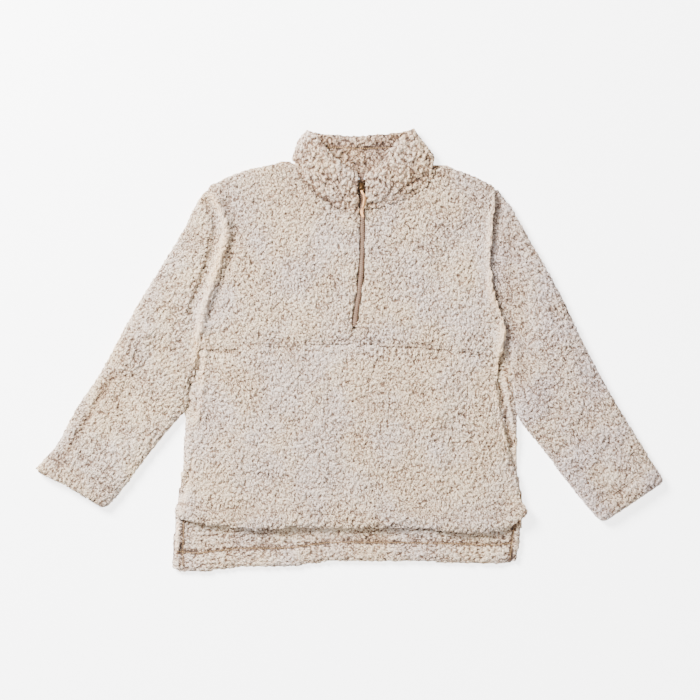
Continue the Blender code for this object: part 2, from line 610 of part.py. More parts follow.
def ribbon(name, places, half_width, low, high, color, roughness, metallic=0.0):
    """Flat strip along the zip: places is a list of y, and the other values are functions of y."""
    mesh_maker = bmesh.new()
    rings = []
    for y in places:
        centre = zip_x(y)
        half = half_width(y)
        corners = ((-half, low(y)), (half, low(y)), (half, high(y)), (-half, high(y)))
        rings.append([mesh_maker.verts.new((centre + off, y, z)) for off, z in corners])
    for first, second in zip(rings, rings[1:]):
        for index in range(4):
            following = (index + 1) % 4
            mesh_maker.faces.new((first[index], first[following], second[following], second[index]))
    mesh_maker.faces.new(rings[0])
    mesh_maker.faces.new(rings[-1][::-1])
    return finish(name, mesh_maker, color, roughness, metallic)


def steps(start, end, count):
    return [blend(start, end, index / count) for index in range(count + 1)]


def build_zip():
    """Tape, coil below and above the slider, and the slider itself."""
    slider_foot = SLIDER_TOP - SLIDER_LENGTH
    half_tape = ZIP_CHANNEL / 2.0 - 0.0010
    tape_foot = ZIP_FOOT + 0.012
    tape = ribbon("zip_tape", steps(tape_foot, ZIP_TOP, 10), lambda y: half_tape, lambda y: TAPE_LOW,
                  lambda y: TAPE_HIGH, TAPE, 0.8)
    low = TAPE_HIGH + SEAM
    coil = ribbon("zip_coil", steps(tape_foot, slider_foot - SEAM, 10), lambda y: COIL_WIDTH / 2.0,
                  lambda y: low, lambda y: low + COIL_HEIGHT, TAPE, 0.5)
    coil_top = ribbon("zip_coil_top", steps(SLIDER_TOP + SEAM, ZIP_TOP, 3), lambda y: COIL_WIDTH / 2.0,
                      lambda y: low, lambda y: low + COIL_HEIGHT, TAPE, 0.5)
    slider = ribbon("zip_slider", steps(slider_foot, SLIDER_TOP, 4), lambda y: SLIDER_WIDTH / 2.0,
                    lambda y: low, lambda y: low + SLIDER_HEIGHT, BRASS, 0.35, 0.9)
    return [tape, coil, coil_top, slider]


def build_pull():
    """Flat leather strap that turns on the slider, folded round its bridge."""
    hinge = Vector((zip_x(SLIDER_TOP - SLIDER_LENGTH), SLIDER_TOP - SLIDER_LENGTH + 0.004,
                    TAPE_HIGH + SEAM + SLIDER_HEIGHT + PULL_CLEARANCE + PULL_THICKNESS / 2.0))
    mesh_maker = bmesh.new()
    rings = []
    count = 12
    for index in range(count + 1):
        share = index / count
        y = PULL_ROOT - PULL_LENGTH * share
        x = 0.0014 * sin(pi * min(share * 1.25, 1.0)) - 0.0010 * ease(share, 0.6, 1.0)
        turn = 0.22 * sin(2.0 * pi * share)
        half = PULL_WIDTH / 2.0 * (0.72 + 0.28 * ease(share, 0.0, 0.25)) * (1.0 - 0.25 * ease(share, 0.9, 1.0))
        z = 0.0004 * ease(share, 0.1, 0.3)
        ring = []
        for across, up in ((-half, -0.5), (half, -0.5), (half, 0.5), (-half, 0.5)):
            rise = up * PULL_THICKNESS
            ring.append(mesh_maker.verts.new((x + across * cos(turn) - rise * sin(turn), y,
                                              z + across * sin(turn) + rise * cos(turn))))
        rings.append(ring)
    for first, second in zip(rings, rings[1:]):
        for index in range(4):
            following = (index + 1) % 4
            mesh_maker.faces.new((first[index], first[following], second[following], second[index]))
    mesh_maker.faces.new(rings[0])
    mesh_maker.faces.new(rings[-1][::-1])
    pull = finish("zip_pull", mesh_maker, LEATHER, 0.6)
    pull.location = hinge
    return [pull]


def clear_scene():
    for old in list(bpy.data.objects):
        bpy.data.objects.remove(old, do_unlink=True)


def centre_on_origin():
    for item in bpy.data.objects:
        item.location.x -= PLAN_CENTRE[0]
        item.location.y -= PLAN_CENTRE[1]


def build_pullover():
    clear_scene()
    build_back()
    build_front_lower()
    build_front_upper(True)
    build_front_upper(False)
    build_sleeve(True)
    build_sleeve(False)
    build_collar()
    build_zip()
    build_pull()
    centre_on_origin()


build_pullover()
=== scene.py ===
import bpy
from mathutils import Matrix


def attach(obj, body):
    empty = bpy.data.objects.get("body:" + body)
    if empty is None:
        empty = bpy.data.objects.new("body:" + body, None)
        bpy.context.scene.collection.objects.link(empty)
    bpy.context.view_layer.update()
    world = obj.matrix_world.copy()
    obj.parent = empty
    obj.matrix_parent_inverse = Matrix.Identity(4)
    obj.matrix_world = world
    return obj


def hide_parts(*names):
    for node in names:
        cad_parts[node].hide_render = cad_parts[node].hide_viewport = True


bl_info = {
    "name": "Sherpa fleece pullover",
    "version": (1, 0, 0),
    "blender": (4, 5, 0),
    "location": "3D View > Sidebar > Pullover",
    "description": "Dresses the packed pullover in curled pile, stitching and a zip",
    "category": "Add Mesh",
}

from collections import namedtuple
from math import cos, hypot, pi, sin, tau

import bmesh
import bpy
from bpy.props import FloatProperty, FloatVectorProperty, IntProperty, PointerProperty
from mathutils import Matrix, Vector
from mathutils.bvhtree import BVHTree
from mathutils.kdtree import KDTree

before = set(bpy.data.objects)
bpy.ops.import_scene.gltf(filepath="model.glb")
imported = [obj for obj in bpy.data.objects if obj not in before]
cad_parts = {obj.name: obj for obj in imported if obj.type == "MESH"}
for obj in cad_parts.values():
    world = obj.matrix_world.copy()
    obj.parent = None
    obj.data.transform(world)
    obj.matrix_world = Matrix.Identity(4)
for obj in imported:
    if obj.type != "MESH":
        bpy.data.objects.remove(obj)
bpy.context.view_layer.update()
MM = 0.001
SKIN = 1e-5                 # a step off a face, so that a ray doesn't meet that face
# Places are in the part's own frame, in metres: X to the right of the picture, Y towards the collar, Z up

# Tint of a whole panel, which is painted light: cooler on the right sleeve, which lies away from the lamp, and
# warmer on the left sleeve, which faces it; the collar's darker tint is painted shade of its inside
PLAIN_CAST = (1.0, 1.0, 1.0)
PAINTED_LIGHT_CASTS = {
    "sleeve_right": (0.975, 0.985, 1.06),
    "sleeve_left": (1.0, 0.995, 0.96),
    "collar": (0.985, 0.975, 0.97),
}
# Panels to which each one is sewn, and whose edges it meets
NEIGHBOURS = {
    "back": (),
    "front_lower": ("front_upper_left", "front_upper_right"),
    "front_upper_left": ("front_lower", "collar", "sleeve_left"),
    "front_upper_right": ("front_lower", "collar"),
    "sleeve_left": ("front_upper_left",),
    "sleeve_right": (),
    "collar": ("front_upper_left", "front_upper_right"),
}

# Which way the pile lies on each panel, as an angle about Z
FRONT_NAP = 0.0
BACK_NAP = pi / 2.0
SLEEVE_NAPS = {"sleeve_left": -0.60, "sleeve_right": 0.55}
# Size of the curls on the back and the collar, and height of the collar's pile, against the fronts
BACK_CURL = 1.15
COLLAR_CURL = 1.45
COLLAR_PILE = 1.25
MESH_CURL = 1.9             # a raised curl is this much wider than a painted one
# The back has fine cells where it shows: below the front hem and outside the fronts
BACK_SHOWS_BELOW = -0.255
BACK_SHOWS_BEYOND = 0.235
UNDERSIDE = 0.0002          # lowest place of the cloth, just above the surface it lies on

# Corners of the cuffs, outer then inner
CUFFS = {
    "sleeve_left": (Vector((-0.5200, -0.1956, 0.0)), Vector((-0.4079, -0.2612, 0.0))),
    "sleeve_right": (Vector((0.5200, -0.2163, 0.0)), Vector((0.4196, -0.2844, 0.0))),
}
CUFF_MIDDLE = 0.0078        # height of the middle of a cuff's mouth
SLEEVE_SLIT = 0.006         # the two layers of a sleeve are nearer to each other than this
MOUTH_ENDS = 0.05           # share of a mouth's width that stays closed at each end
MOUTH_DEPTH = 0.008         # faces of the mouth lie within this of the cuff's line
LIP_ROWS = 3                # rows of cells that turn in at the mouth, and how deep they reach
LIP_DEPTH = 0.018
LIP_CLOSING = 0.25          # share by which each row nears the middle
LIP_PRESS = 0.6             # how much the pile is pressed there
ARMHOLE_TUCK = 0.0055       # how far a sleeve's open end reaches under the front
ARMHOLE_FOOT = -0.0500

# Rows of stitches: depth of each turned hem, and the row along the top of the collar
CUFF_HEM = 0.030
FRONT_HEM = 0.025
TAIL_HEM = 0.031
COLLAR_ROW = ((-0.0386, 0.3381), (-0.017, 0.3373), (0.0129, 0.3356), (0.0428, 0.3365), (0.0677, 0.3381))
# Rows along the two vents: X at the foot and at the top, and how far the foot is above the tail's left end
VENT_ROWS = ((-0.2782, -0.2768, 0.006), (0.2655, 0.2735, 0.018))
VENT_TOP = -0.283
ROW_INSET = 2.0 * MM        # a cuff's row stops this far from its corners
# Where the lowest edges are looked for: heights, and the two ends along X
FRONT_EDGE = ((0.0085, 0.0110, 0.0140, 0.0180), -0.288, 0.293)
TAIL_EDGE = ((0.0032,), -0.289, 0.270)
STITCH_LIFT = 0.3 * MM      # height of a stitch's middle above the pressed pile
STITCH_GAP = 1.6            # a longer gap than this many stitches is left open
STITCH_SINK = 0.0022        # how deep a row pulls the cloth in
ABOVE_ALL = 0.05            # height from which rays look down on the cloth
CLEAR_ROWS = ("back", "collar")
FAINT_ROW = 0.5             # share of that sinking on the other panels, whose pile hides the row
ROW_TONE = 0.35             # how much browner the cloth is along a row

# The zip: places along its middle, from the top. Heights are above the surface that the garment lies on
ZIP_LINE = ((0.0187, 0.2966), (0.0187, 0.2667), (0.0200, 0.2252), (0.0204, 0.1837), (0.0187, 0.1339),
            (0.0145, 0.0924), (0.0096, 0.0642), (0.0071, 0.0393), (0.0056, 0.0123))
ZIP_TOP = 0.2930
TAPE_FOOT = 0.0400
TAPE_HALF = 0.0038
TAPE_TOP = 0.0100
TAPE_THICK = 0.0006
TAPE_RISE = 0.0006          # beside the coil
TAPE_FALL = 0.0004          # at the tape's edges
COIL_MIDDLE = 0.0118
COIL_STEPS = 7              # segments in a turn of the coil
COIL_HALF_WIDTH = 0.0015
COIL_HALF_HEIGHT = 0.0009
COIL_WIRE = 0.0013
COIL_CLOSED = 0.0009        # from the zip's middle to that of each coil, below the slider and above it
COIL_OPEN = 0.0018
SLIDER_TOP = 0.2793
SLIDER_FOOT = 0.2668
SLIDER_HALF = 0.0040
SLIDER_PLATES = ((0.0100, 0.0109, 0.94), (0.0129, 0.0143, 1.0))     # low, high, share of the full width
# The slider's side walls: in from its widest place, beyond its middle, and above the floor
WALL_INSET = 0.0008
WALL_SHIFT = 0.0008
WALL_MIDDLE = 0.0118
WALL_WIDTH = 0.0009
WALL_HEIGHT = 0.0028
WALL_SHARE = 0.62           # share of the slider's length
SLIDER_EDGE = 0.0003        # width of its bevelled edges
BRIDGE_BAR = (0.0022, 0.0009, 0.0001)       # size of the bar that is spun into the bridge
BRIDGE_REACH = 0.0024
BRIDGE_FOOT = 0.0139
HINGE = (0.0187, 0.2708, 0.0168)
LOOP_RADIUS = 0.0028
LOOP_WIRE = 0.0011
LOOP_REACH = 0.0050
STRAP_LENGTH = 0.0450
STRAP_HALF = 0.0024
STRAP_THICK = 0.0026
STRAP_LIFT = 0.0022
# Share of the strap's length, and how far it bends there to the right of the zip
STRAP_BENDS = ((0.0, 0.0002), (0.30, 0.0056), (0.50, 0.0044), (0.78, 0.0002), (1.0, 0.0030))
STRAP_TWIST = 0.75

# The cloth's edges: how much the pile fills them, and how a seam is filled from both sides
EDGE_FULLNESS = 0.0026
SEAM_SHARE = 0.6
SEAM_FILL = 0.0026
SEAM_OVERLAP = 0.0046
SEAM_REACH = 0.0090
LINE_STEP = 2.0 * MM        # spacing of the points from which seams and folds are measured
# The slit beside the slider, where the pile keeps off the loop of the strap
SLIT_FOOT = 0.2560
SLIT_TOP = 0.2880
SLIT_END = 0.0060
SLIT_HALF = 0.0060
SLIT_REACH = 0.0130
SLIT_PRESS = 0.7
# Tone says how much browner the cloth is, and below nought how much paler: in places the cloth's own colour, in
# others painted shade and painted highlight. These are its limits, and its value on each part of the garment
PALEST = -0.47
BROWNEST = 0.70
TONES = {
    "collar": 0.12,
    # Painted shade on the collar's inside, at the back of the neck
    "collar_inside": 0.13,
    "back": -0.10,
    # The tail's browner tone is partly painted shade, where the front hem shades it
    "tail": 0.06,
    "tail_hem": -0.09,
    "front_lower": -0.03,
    "front_hem": 0.05,
    # Painted highlight down the left side of the lower front, which faces the lamp
    "front_side": -0.12,
    "cuff": 0.04,
    "neck": 0.04,
}
TAIL_START = -0.20          # below this the back shows its inside
# Where one tone passes into the next: by height, along X or Y, from a row of stitches, or up a sleeve
COLLAR_INSIDE_Z = (0.0095, 0.0130)
COLLAR_INSIDE_Y = (0.284, 0.292)
TAIL_HEM_FADE = (-0.003, 0.003)
VENT_FADE_X = (-0.281, -0.276)
FRONT_HEM_FADE = (-0.004, 0.002)
FRONT_SIDE_X = (-0.276, -0.262)
CUFF_FADE = (0.02, 0.04)
NECK_FADE_Y = (0.19, 0.26)
# Where the tone is below nought, on the painted highlights, the pile is flatter: how fast with its tone, from
# which share, and the shade that it tends to
PALE_FLATNESS = 0.9
PALE_START = 1.08
PALE_SHADE = 0.71

# The stage: the camera stands straight above, so high that it sees a pixel of the picture as one here
PIXEL = 1.66 * MM
PHOTO_PIXELS = 700
CAMERA_HEIGHT = 6.0
CAMERA_CENTRE = (-0.0004, 0.0011)
GARMENT_MIDDLE = 0.010      # the camera's height is measured from here
SENSOR = 36.0
FLOOR_HALF = 6.0
FLOOR_GLOW = 3.0
WORLD_LIGHT = 0.62
Lamp = namedtuple("Lamp", "name place size power")
LAMPS = (
    Lamp("key", (-2.3, 2.2, 2.1), 1.6, 900.0),
    Lamp("fill", (0.5, -2.3, 1.7), 2.0, 50.0),
)

# Where the edges of the pile are fuller still: the left armpit and the foot of the zip
Fullness = namedtuple("Fullness", "middle reach amount")
FULLNESSES = (
    Fullness((-0.2726, -0.0902), 0.0260, 0.0050),
    Fullness((0.0058, 0.0310), 0.0170, 0.0042),
)

# Where the cloth lies a little further out than its solid: the middle, how far it reaches, and the shift
Bulge = namedtuple("Bulge", "middle reach shift")
BULGES = (
    # Left shoulder
    Bulge((-0.2494, 0.2501), 0.060, (-0.0048, 0.0028)),
    # Collar, left
    Bulge((-0.0834, 0.3497), 0.030, (-0.0050, 0.0008)),
    # Shoulder beside the collar, left
    Bulge((-0.1083, 0.3099), 0.030, (-0.0010, 0.0030)),
    # Left sleeve, outer side above the cuff
    Bulge((-0.4652, -0.0902), 0.085, (-0.0060, 0.0012)),
    # Left cuff, outer corner
    Bulge((-0.5117, -0.2047), 0.045, (-0.0030, -0.0020)),
    # Right cuff, inner side
    Bulge((0.3781, -0.2396), 0.085, (-0.0070, -0.0012)),
)

# Soft folds: where each runs, its half width, its height, how much browner it is, and the panels that it is on
# where it isn't on all. Their tones are painted shade in the hollows and slits and painted highlight on the
# ridges, welts and turned edges; along a seam they are the browner knit of the seam
Fold = namedtuple("Fold", "line half height tone nodes", defaults=("",))
FOLDS = (
    # Left armhole welt, which bows to the right
    Fold(((-0.2278, 0.2551), (-0.2179, 0.2385), (-0.2096, 0.2169), (-0.2054, 0.1953), (-0.2112, 0.1704),
          (-0.2195, 0.1439), (-0.2295, 0.1107), (-0.2428, 0.0742), (-0.2544, 0.0177), (-0.2594, -0.0221)),
         0.0118, 0.0050, -0.34),
    # Second ridge down the left side
    Fold(((-0.2394, 0.0177), (-0.2461, -0.0454), (-0.2494, -0.0968), (-0.2594, -0.1234)), 0.0075, 0.0022, -0.2),
    # Hollow beside the welt, its tone painted shade
    Fold(((-0.2029, 0.2435), (-0.193, 0.2203), (-0.1896, 0.1937), (-0.1963, 0.1605), (-0.2062, 0.1273),
          (-0.2179, 0.0908), (-0.2311, 0.0542)), 0.0105, -0.0026, 0.12),
    # Armhole, left, a groove whose tone is painted shade
    Fold(((-0.2394, 0.2501), (-0.2295, 0.2302), (-0.2245, 0.2003), (-0.2311, 0.1671), (-0.2428, 0.1306),
          (-0.256, 0.0941), (-0.266, 0.0609)), 0.0080, -0.0044, 0.12),
    # Edge of the right front, over its sleeve
    Fold(((0.2436, 0.2501), (0.2361, 0.2236), (0.2337, 0.2003), (0.232, 0.1688), (0.2353, 0.1356),
          (0.232, 0.104), (0.2386, 0.0825), (0.2519, 0.0675), (0.2586, 0.0542), (0.2536, 0.0377),
          (0.2503, 0.0061), (0.2469, -0.0354)), 0.0125, 0.0044, -0.35, "front_upper_right front_lower"),
    # The right sleeve lies lower beside that edge, in its shade
    Fold(((0.2486, 0.2501), (0.2436, 0.2236), (0.242, 0.2003), (0.242, 0.1688), (0.2453, 0.1356),
          (0.2436, 0.104), (0.2503, 0.0825), (0.2635, 0.0642), (0.2685, 0.0509), (0.2652, 0.031),
          (0.2635, 0.0011), (0.2635, -0.0354)), 0.014, -0.0036, 0.0, "sleeve_right"),
    # The same sleeve further out, still in some shade, which its tone paints
    Fold(((0.2569, 0.2418), (0.2602, 0.2003), (0.2635, 0.1505), (0.2669, 0.1007), (0.2768, 0.0542),
          (0.2818, 0.0094), (0.2818, -0.0404)), 0.030, -0.0030, 0.12, "sleeve_right"),
    # Pale rim of that edge
    Fold(((0.2486, 0.2452), (0.2428, 0.2236), (0.2411, 0.2003), (0.2386, 0.1688), (0.2411, 0.1356),
          (0.2395, 0.104), (0.2453, 0.0858), (0.2586, 0.0659), (0.2644, 0.0526), (0.2602, 0.036),
          (0.2569, 0.0044), (0.2552, -0.0354)), 0.0065, 0.0006, -0.6, "front_upper_right front_lower"),
    # Turned edge down the left side, which faces the lamp: its paler tone is painted highlight
    Fold(((-0.2594, -0.0188), (-0.2643, -0.0736), (-0.2677, -0.1267), (-0.2693, -0.1898)),
         0.0125, 0.0012, -0.42, "front_lower"),
    # The same edge further down, with less painted highlight
    Fold(((-0.2693, -0.1898), (-0.276, -0.2479), (-0.2843, -0.2711)), 0.0125, 0.0012, -0.16, "front_lower"),
    # Vent seam, left
    Fold(((-0.2788, -0.2844), (-0.2803, -0.311), (-0.2819, -0.3358)), 0.0026, -0.0016, 0.5, "back"),
    # Vent edge, left
    Fold(((-0.2856, -0.2844), (-0.2876, -0.311), (-0.2889, -0.3408)), 0.0045, 0.0012, -0.5, "back"),
    # Vent seam, right
    Fold(((0.271, -0.296), (0.2692, -0.3226), (0.2669, -0.3475)), 0.003, -0.0014, 0.6, "back"),
    # Fold of the right side, outside the pocket
    Fold(((0.2569, -0.0387), (0.2635, -0.0819), (0.2718, -0.1317), (0.2752, -0.1848)), 0.006, 0.0016, -0.1),
    # Edge of the pocket mouth
    Fold(((0.2403, -0.0653), (0.2469, -0.0985), (0.2586, -0.1516)), 0.0055, 0.0014, -0.25),
    # Pocket mouth, whose tone paints the shade in the slit
    Fold(((0.2478, -0.0553), (0.2536, -0.0786), (0.2577, -0.1018), (0.2635, -0.1284), (0.2693, -0.1582)),
         0.0056, -0.0060, 0.5),
    # Pucker below the zip, its tone painted shade
    Fold(((0.0069, 0.0393), (0.0029, 0.0277), (-0.007, 0.0111)), 0.006, -0.0016, 0.05),
    # Pucker right of the zip, its tone painted shade
    Fold(((0.0112, 0.0377), (0.0228, 0.0211), (0.0428, 0.0111)), 0.008, -0.001, 0.05),
    # Neck seam, left
    Fold(((-0.1033, 0.3149), (-0.0884, 0.3049), (-0.0793, 0.285), (-0.0585, 0.2659), (-0.0386, 0.2485),
          (-0.027, 0.2369)), 0.0034, -0.0012, 0.4),
    # Neck seam, right
    Fold(((0.144, 0.295), (0.1158, 0.285), (0.0942, 0.2717), (0.0743, 0.2551), (0.0577, 0.2452),
          (0.0328, 0.2435)), 0.0034, -0.001, 0.26),
    # Shoulder seam, right
    Fold(((0.144, 0.2925), (0.1573, 0.29), (0.1689, 0.2867)), 0.0034, -0.001, 0.4),
    # Chest seam, left end
    Fold(((-0.2477, 0.0011), (-0.2162, -0.0022), (-0.178, -0.0005)), 0.0034, -0.0008, 0.34),
    # Chest seam, middle
    Fold(((-0.0834, 0.0078), (-0.0469, 0.0103), (-0.0087, 0.0127)), 0.0034, -0.0006, 0.22),
    # Chest seam, right of the zip
    Fold(((0.0494, 0.0094), (0.0992, 0.0061), (0.1656, 0.0011)), 0.004, -0.001, 0.28),
    # Chest seam, right end
    Fold(((0.1855, -0.0005), (0.2154, -0.0055), (0.2436, -0.0105)), 0.0034, -0.0008, 0.2),
    # Tail, which stands up against the front hem; its paler tone is painted light in the hem's shadow
    Fold(((-0.2859, -0.2827), (-0.2328, -0.291), (-0.1581, -0.291), (-0.0718, -0.2927), (0.0145, -0.2927),
          (0.1009, -0.2977), (0.1805, -0.3043), (0.2453, -0.2993), (0.2735, -0.286)),
         0.0095, 0.0022, -0.12, "back"),
    # Left sleeve, a long hollow inside its outer edge, its tone painted shade
    Fold(((-0.3922, -0.042), (-0.4187, -0.0835), (-0.442, -0.1234), (-0.4635, -0.1599), (-0.4851, -0.1881)),
         0.0085, -0.0024, 0.34, "sleeve_left"),
    # Left sleeve, fold near the cuff, a hollow with a little painted shade
    Fold(((-0.4718, -0.1217), (-0.4785, -0.1483), (-0.4851, -0.1748)), 0.014, -0.0018, 0.02),
    # Left sleeve, fold at the elbow
    Fold(((-0.3324, 0.0343), (-0.3689, 0.0011), (-0.3855, -0.0354)), 0.016, 0.0016, 0),
    # Left sleeve, hollow at the elbow, with a little painted shade
    Fold(((-0.3158, 0.0094), (-0.349, -0.0354), (-0.3722, -0.0786)), 0.016, -0.0015, 0.02),
    # Right sleeve, fold at the elbow
    Fold(((0.3233, 0.0675), (0.3582, 0.0094), (0.3781, -0.0354)), 0.016, 0.0016, 0),
    # Right sleeve, hollow above the cuff, with a little painted shade
    Fold(((0.398, -0.0819), (0.4212, -0.1284), (0.4345, -0.1682)), 0.016, -0.0015, 0.02),
    # Chest, left, a long soft hollow
    Fold(((-0.183, 0.192), (-0.1365, 0.1472), (-0.1, 0.0841)), 0.026, -0.0016, 0),
    # Chest, right, a long soft hollow
    Fold(((0.1988, 0.197), (0.159, 0.1472), (0.1324, 0.0874)), 0.026, -0.0015, 0),
    # Lower front, left
    Fold(((-0.2062, -0.0354), (-0.183, -0.1151), (-0.1896, -0.1981)), 0.03, 0.0018, 0),
    # Lower front, middle
    Fold(((-0.0336, -0.0819), (-0.007, -0.1483), (-0.017, -0.2313)), 0.03, -0.0015, 0),
    # Lower front, right
    Fold(((0.1656, -0.0487), (0.1357, -0.1317), (0.149, -0.2147)), 0.03, 0.0017, 0),
)


def linear(text):
    """Linear colour of an sRGB hex value."""
    channels = [int(text[place:place + 2], 16) / 255.0 for place in (1, 3, 5)]
    return tuple(value / 12.92 if value <= 0.04045 else ((value + 0.055) / 1.055) ** 2.4 for value in channels)


def length(name, description, millimetres):
    """Property of a length."""
    return FloatProperty(name=name, description=description, default=millimetres * MM, unit="LENGTH")


def colour(name, description, value):
    """Property of a colour, given as sRGB hex."""
    return FloatVectorProperty(name=name, description=description, default=linear(value), subtype="COLOR")


class PulloverSizes(bpy.types.PropertyGroup):
    """Sizes of the cloth's surface and of what is sewn on it."""
    voxel: length("Form cell", "Cell of a panel's smooth form", 4.5)
    collar_voxel: length("Collar cell", "Cell of the collar's smooth form", 3.0)
    pile: length("Pile height", "From the roots to the tips of the curls", 3.4)
    curl: length("Curl size", "Width of one curl of the pile", 2.4)
    seam_width: length("Seam width", "How far a seam presses the pile down", 4.5)
    stitch: length("Stitch length", "Length of one stitch", 3.2)
    thread: length("Thread", "Thickness of the sewing thread", 1.3)
    tooth_pitch: length("Coil pitch", "Distance between two turns of the coil", 3.6)
    smoothing: IntProperty(name="Smoothing", description="Rounds of smoothing of a panel's form", default=3)


class PulloverColours(bpy.types.PropertyGroup):
    """Colours of the pile, the zip and the strap."""
    tip: colour("Pile tips", "Cream ends of the curls", "#FCEFDD")
    body: colour("Pile", "Most of a curl", "#E3CDB6")
    # Sides of the curls, whose darker colour is partly painted shade between them
    deep: colour("Pile, low down", "Sides of the curls", "#967860")
    root: colour("Roots", "Brown knit between the curls", "#4F3A2A")
    # Browner tint for a tone above nought: the seams' knit, and painted shade in hollows, slits, the collar and
    # the tail
    inside: colour("Inside", "Tint of the cloth's inner side", "#DDD5CB")
    # Creamier tint for a tone below nought: painted highlight on the welts, ridges and turned edges
    cream: colour("Bulges", "Tint of the welts and turned edges", "#FFEFD8")
    warm: colour("Warm patches", "Tint of the warmer patches", "#FFF6E6")
    cool: colour("Cool patches", "Tint of the cooler patches", "#F4F0F4")
    thread: colour("Thread", "Sewing thread", "#98784F")
    thread_pale: colour("Pale thread", "Thread of the cuffs and the front hem", "#C3AC94")
    tape: colour("Tape", "Woven tape of the zip", "#6E5545")
    coil: colour("Coil", "Coil of the zip", "#917560")
    brass: colour("Slider", "Aged brass of the slider", "#6F5439")
    leather: colour("Strap", "Face of the strap", "#CE9864")
    # Darker leather of the strap's edges and back, which is painted shade
    leather_painted_shade: colour("Strap edge", "Cut edge and back of the strap", "#5E3620")
    floor: colour("Floor", "Surface that the garment lies on", "#FAFAFA")


def sizes():
    """Sizes, as they are set in the panel."""
    return bpy.context.scene.pullover_sizes


def colours():
    """Colours, as they are set in the panel."""
    return bpy.context.scene.pullover_colours


def add_node(tree, kind, settings=None, inputs=None):
    """A node with its settings, whose inputs are values or other nodes' outputs."""
    node = tree.nodes.new(kind)
    for name, value in (settings or {}).items():
        setattr(node, name, value)
    for name, value in (inputs or {}).items():
        if isinstance(value, bpy.types.NodeSocket):
            tree.links.new(value, node.inputs[name])
        else:
            node.inputs[name].default_value = value
    return node


def reckon(tree, operation, *values, clamp=False):
    """Result of a sum on values or other nodes' outputs."""
    settings = {"operation": operation, "use_clamp": clamp}
    return add_node(tree, "ShaderNodeMath", settings, dict(enumerate(values))).outputs[0]


def reckon_vector(tree, operation, first, second):
    """Result of a sum on vectors; a scale takes a value as its second."""
    inputs = {0: first, "Scale" if operation == "SCALE" else 1: second}
    return add_node(tree, "ShaderNodeVectorMath", {"operation": operation}, inputs).outputs[0]


def noise(tree, place, cell, detail, roughness=0.5):
    """Soft noise whose features are about one cell wide."""
    return add_node(tree, "ShaderNodeTexNoise", {}, {"Vector": place, "Scale": 1.0 / cell, "Detail": detail,
                                                     "Roughness": roughness})


def curl_place(tree, place, cell, drift, squeeze):
    """Place with a soft wander of its own, squeezed so that one curl is one unit."""
    wander = noise(tree, place, cell, 2.0).outputs["Color"]
    off = reckon_vector(tree, "SUBTRACT", wander, (0.5, 0.5, 0.5))
    moved = reckon_vector(tree, "ADD", place, reckon_vector(tree, "SCALE", off, drift))
    return reckon_vector(tree, "MULTIPLY", moved, squeeze)


def lying_flat(tree, tone):
    """How much of its height the pile keeps: where the tone is below nought, on the painted highlights, it lies
    down.
    """
    return reckon(tree, "MULTIPLY_ADD", tone, PALE_FLATNESS, PALE_START, clamp=True)


def ease(value, low, high):
    """Share of the way from low to high, with a soft start and end."""
    share = min(max((value - low) / (high - low), 0.0), 1.0)
    return share * share * (3.0 - 2.0 * share)


def object_of(name, mesh_maker, smooth=True, outward=False):
    """Object at the origin with the mesh that a bmesh holds, its faces turned outward where that is asked."""
    if outward:
        bmesh.ops.recalc_face_normals(mesh_maker, faces=mesh_maker.faces)
    mesh = bpy.data.meshes.new(name)
    mesh_maker.to_mesh(mesh)
    mesh_maker.free()
    if smooth:
        mesh.shade_smooth()
    made = bpy.data.objects.new(name, mesh)
    bpy.context.scene.collection.objects.link(made)
    return made


def applied(item):
    """The same object with its modifiers applied."""
    graph = bpy.context.evaluated_depsgraph_get()
    mesh = bpy.data.meshes.new_from_object(item.evaluated_get(graph))
    item.modifiers.clear()
    old = item.data
    item.data = mesh
    bpy.data.meshes.remove(old)
    return item


def cad_copy(node):
    """Bmesh of a node with its doubled points merged."""
    mesh_maker = bmesh.new()
    mesh_maker.from_mesh(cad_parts[node].data)
    bmesh.ops.remove_doubles(mesh_maker, verts=mesh_maker.verts, dist=1e-6)
    return mesh_maker


def cad_tree(node):
    """Search tree on a node's faces."""
    mesh_maker = cad_copy(node)
    tree = BVHTree.FromBMesh(mesh_maker)
    mesh_maker.free()
    return tree


def line_tree(line):
    """Search tree on a line's points, seen from above."""
    tree = KDTree(len(line))
    for index, point in enumerate(line):
        tree.insert((point.x, point.y, 0.0), index)
    tree.balance()
    return tree


def spaced(points, step):
    """Points at even steps along a line."""
    made, left = [points[0].copy()], step
    for first, second in zip(points, points[1:]):
        run = (second - first).length
        place = left
        while place <= run:
            made.append(first.lerp(second, place / run))
            place += step
        left = place - run
    return made


def edge_across(node, heights, start_x, end_x, count=90):
    """Lower edge of a panel, found from the side, from left to right."""
    tree = cad_tree(node)
    line = []
    for index in range(count + 1):
        x = start_x + (end_x - start_x) * index / count
        found = []
        for height in heights:
            hit = tree.ray_cast(Vector((x, -1.0, height)), Vector((0.0, 1.0, 0.0)))[0]
            if hit:
                found.append(hit.y)
        if found:
            line.append(Vector((x, min(found), 0.0)))
    return line


def hem_lines():
    """Rows of stitches of each panel."""
    front = edge_across("front_lower", *FRONT_EDGE)
    tail = edge_across("back", *TAIL_EDGE)
    lines = {
        "front_lower": [[point + Vector((0.0, FRONT_HEM, 0.0)) for point in front]],
        "back": [[point + Vector((0.0, TAIL_HEM, 0.0)) for point in tail]],
    }
    for foot_x, top_x, above in VENT_ROWS:
        lines["back"].append([Vector((foot_x, tail[0].y + above, 0.0)), Vector((top_x, VENT_TOP, 0.0))])
    lines["collar"] = [[Vector((x, y, 0.0)) for x, y in COLLAR_ROW]]
    for node, (outer, inner) in CUFFS.items():
        along, inward = inward_of(node)
        shift = inward * CUFF_HEM
        lines[node] = [[outer + shift + along * ROW_INSET, inner + shift - along * ROW_INSET]]
    return lines


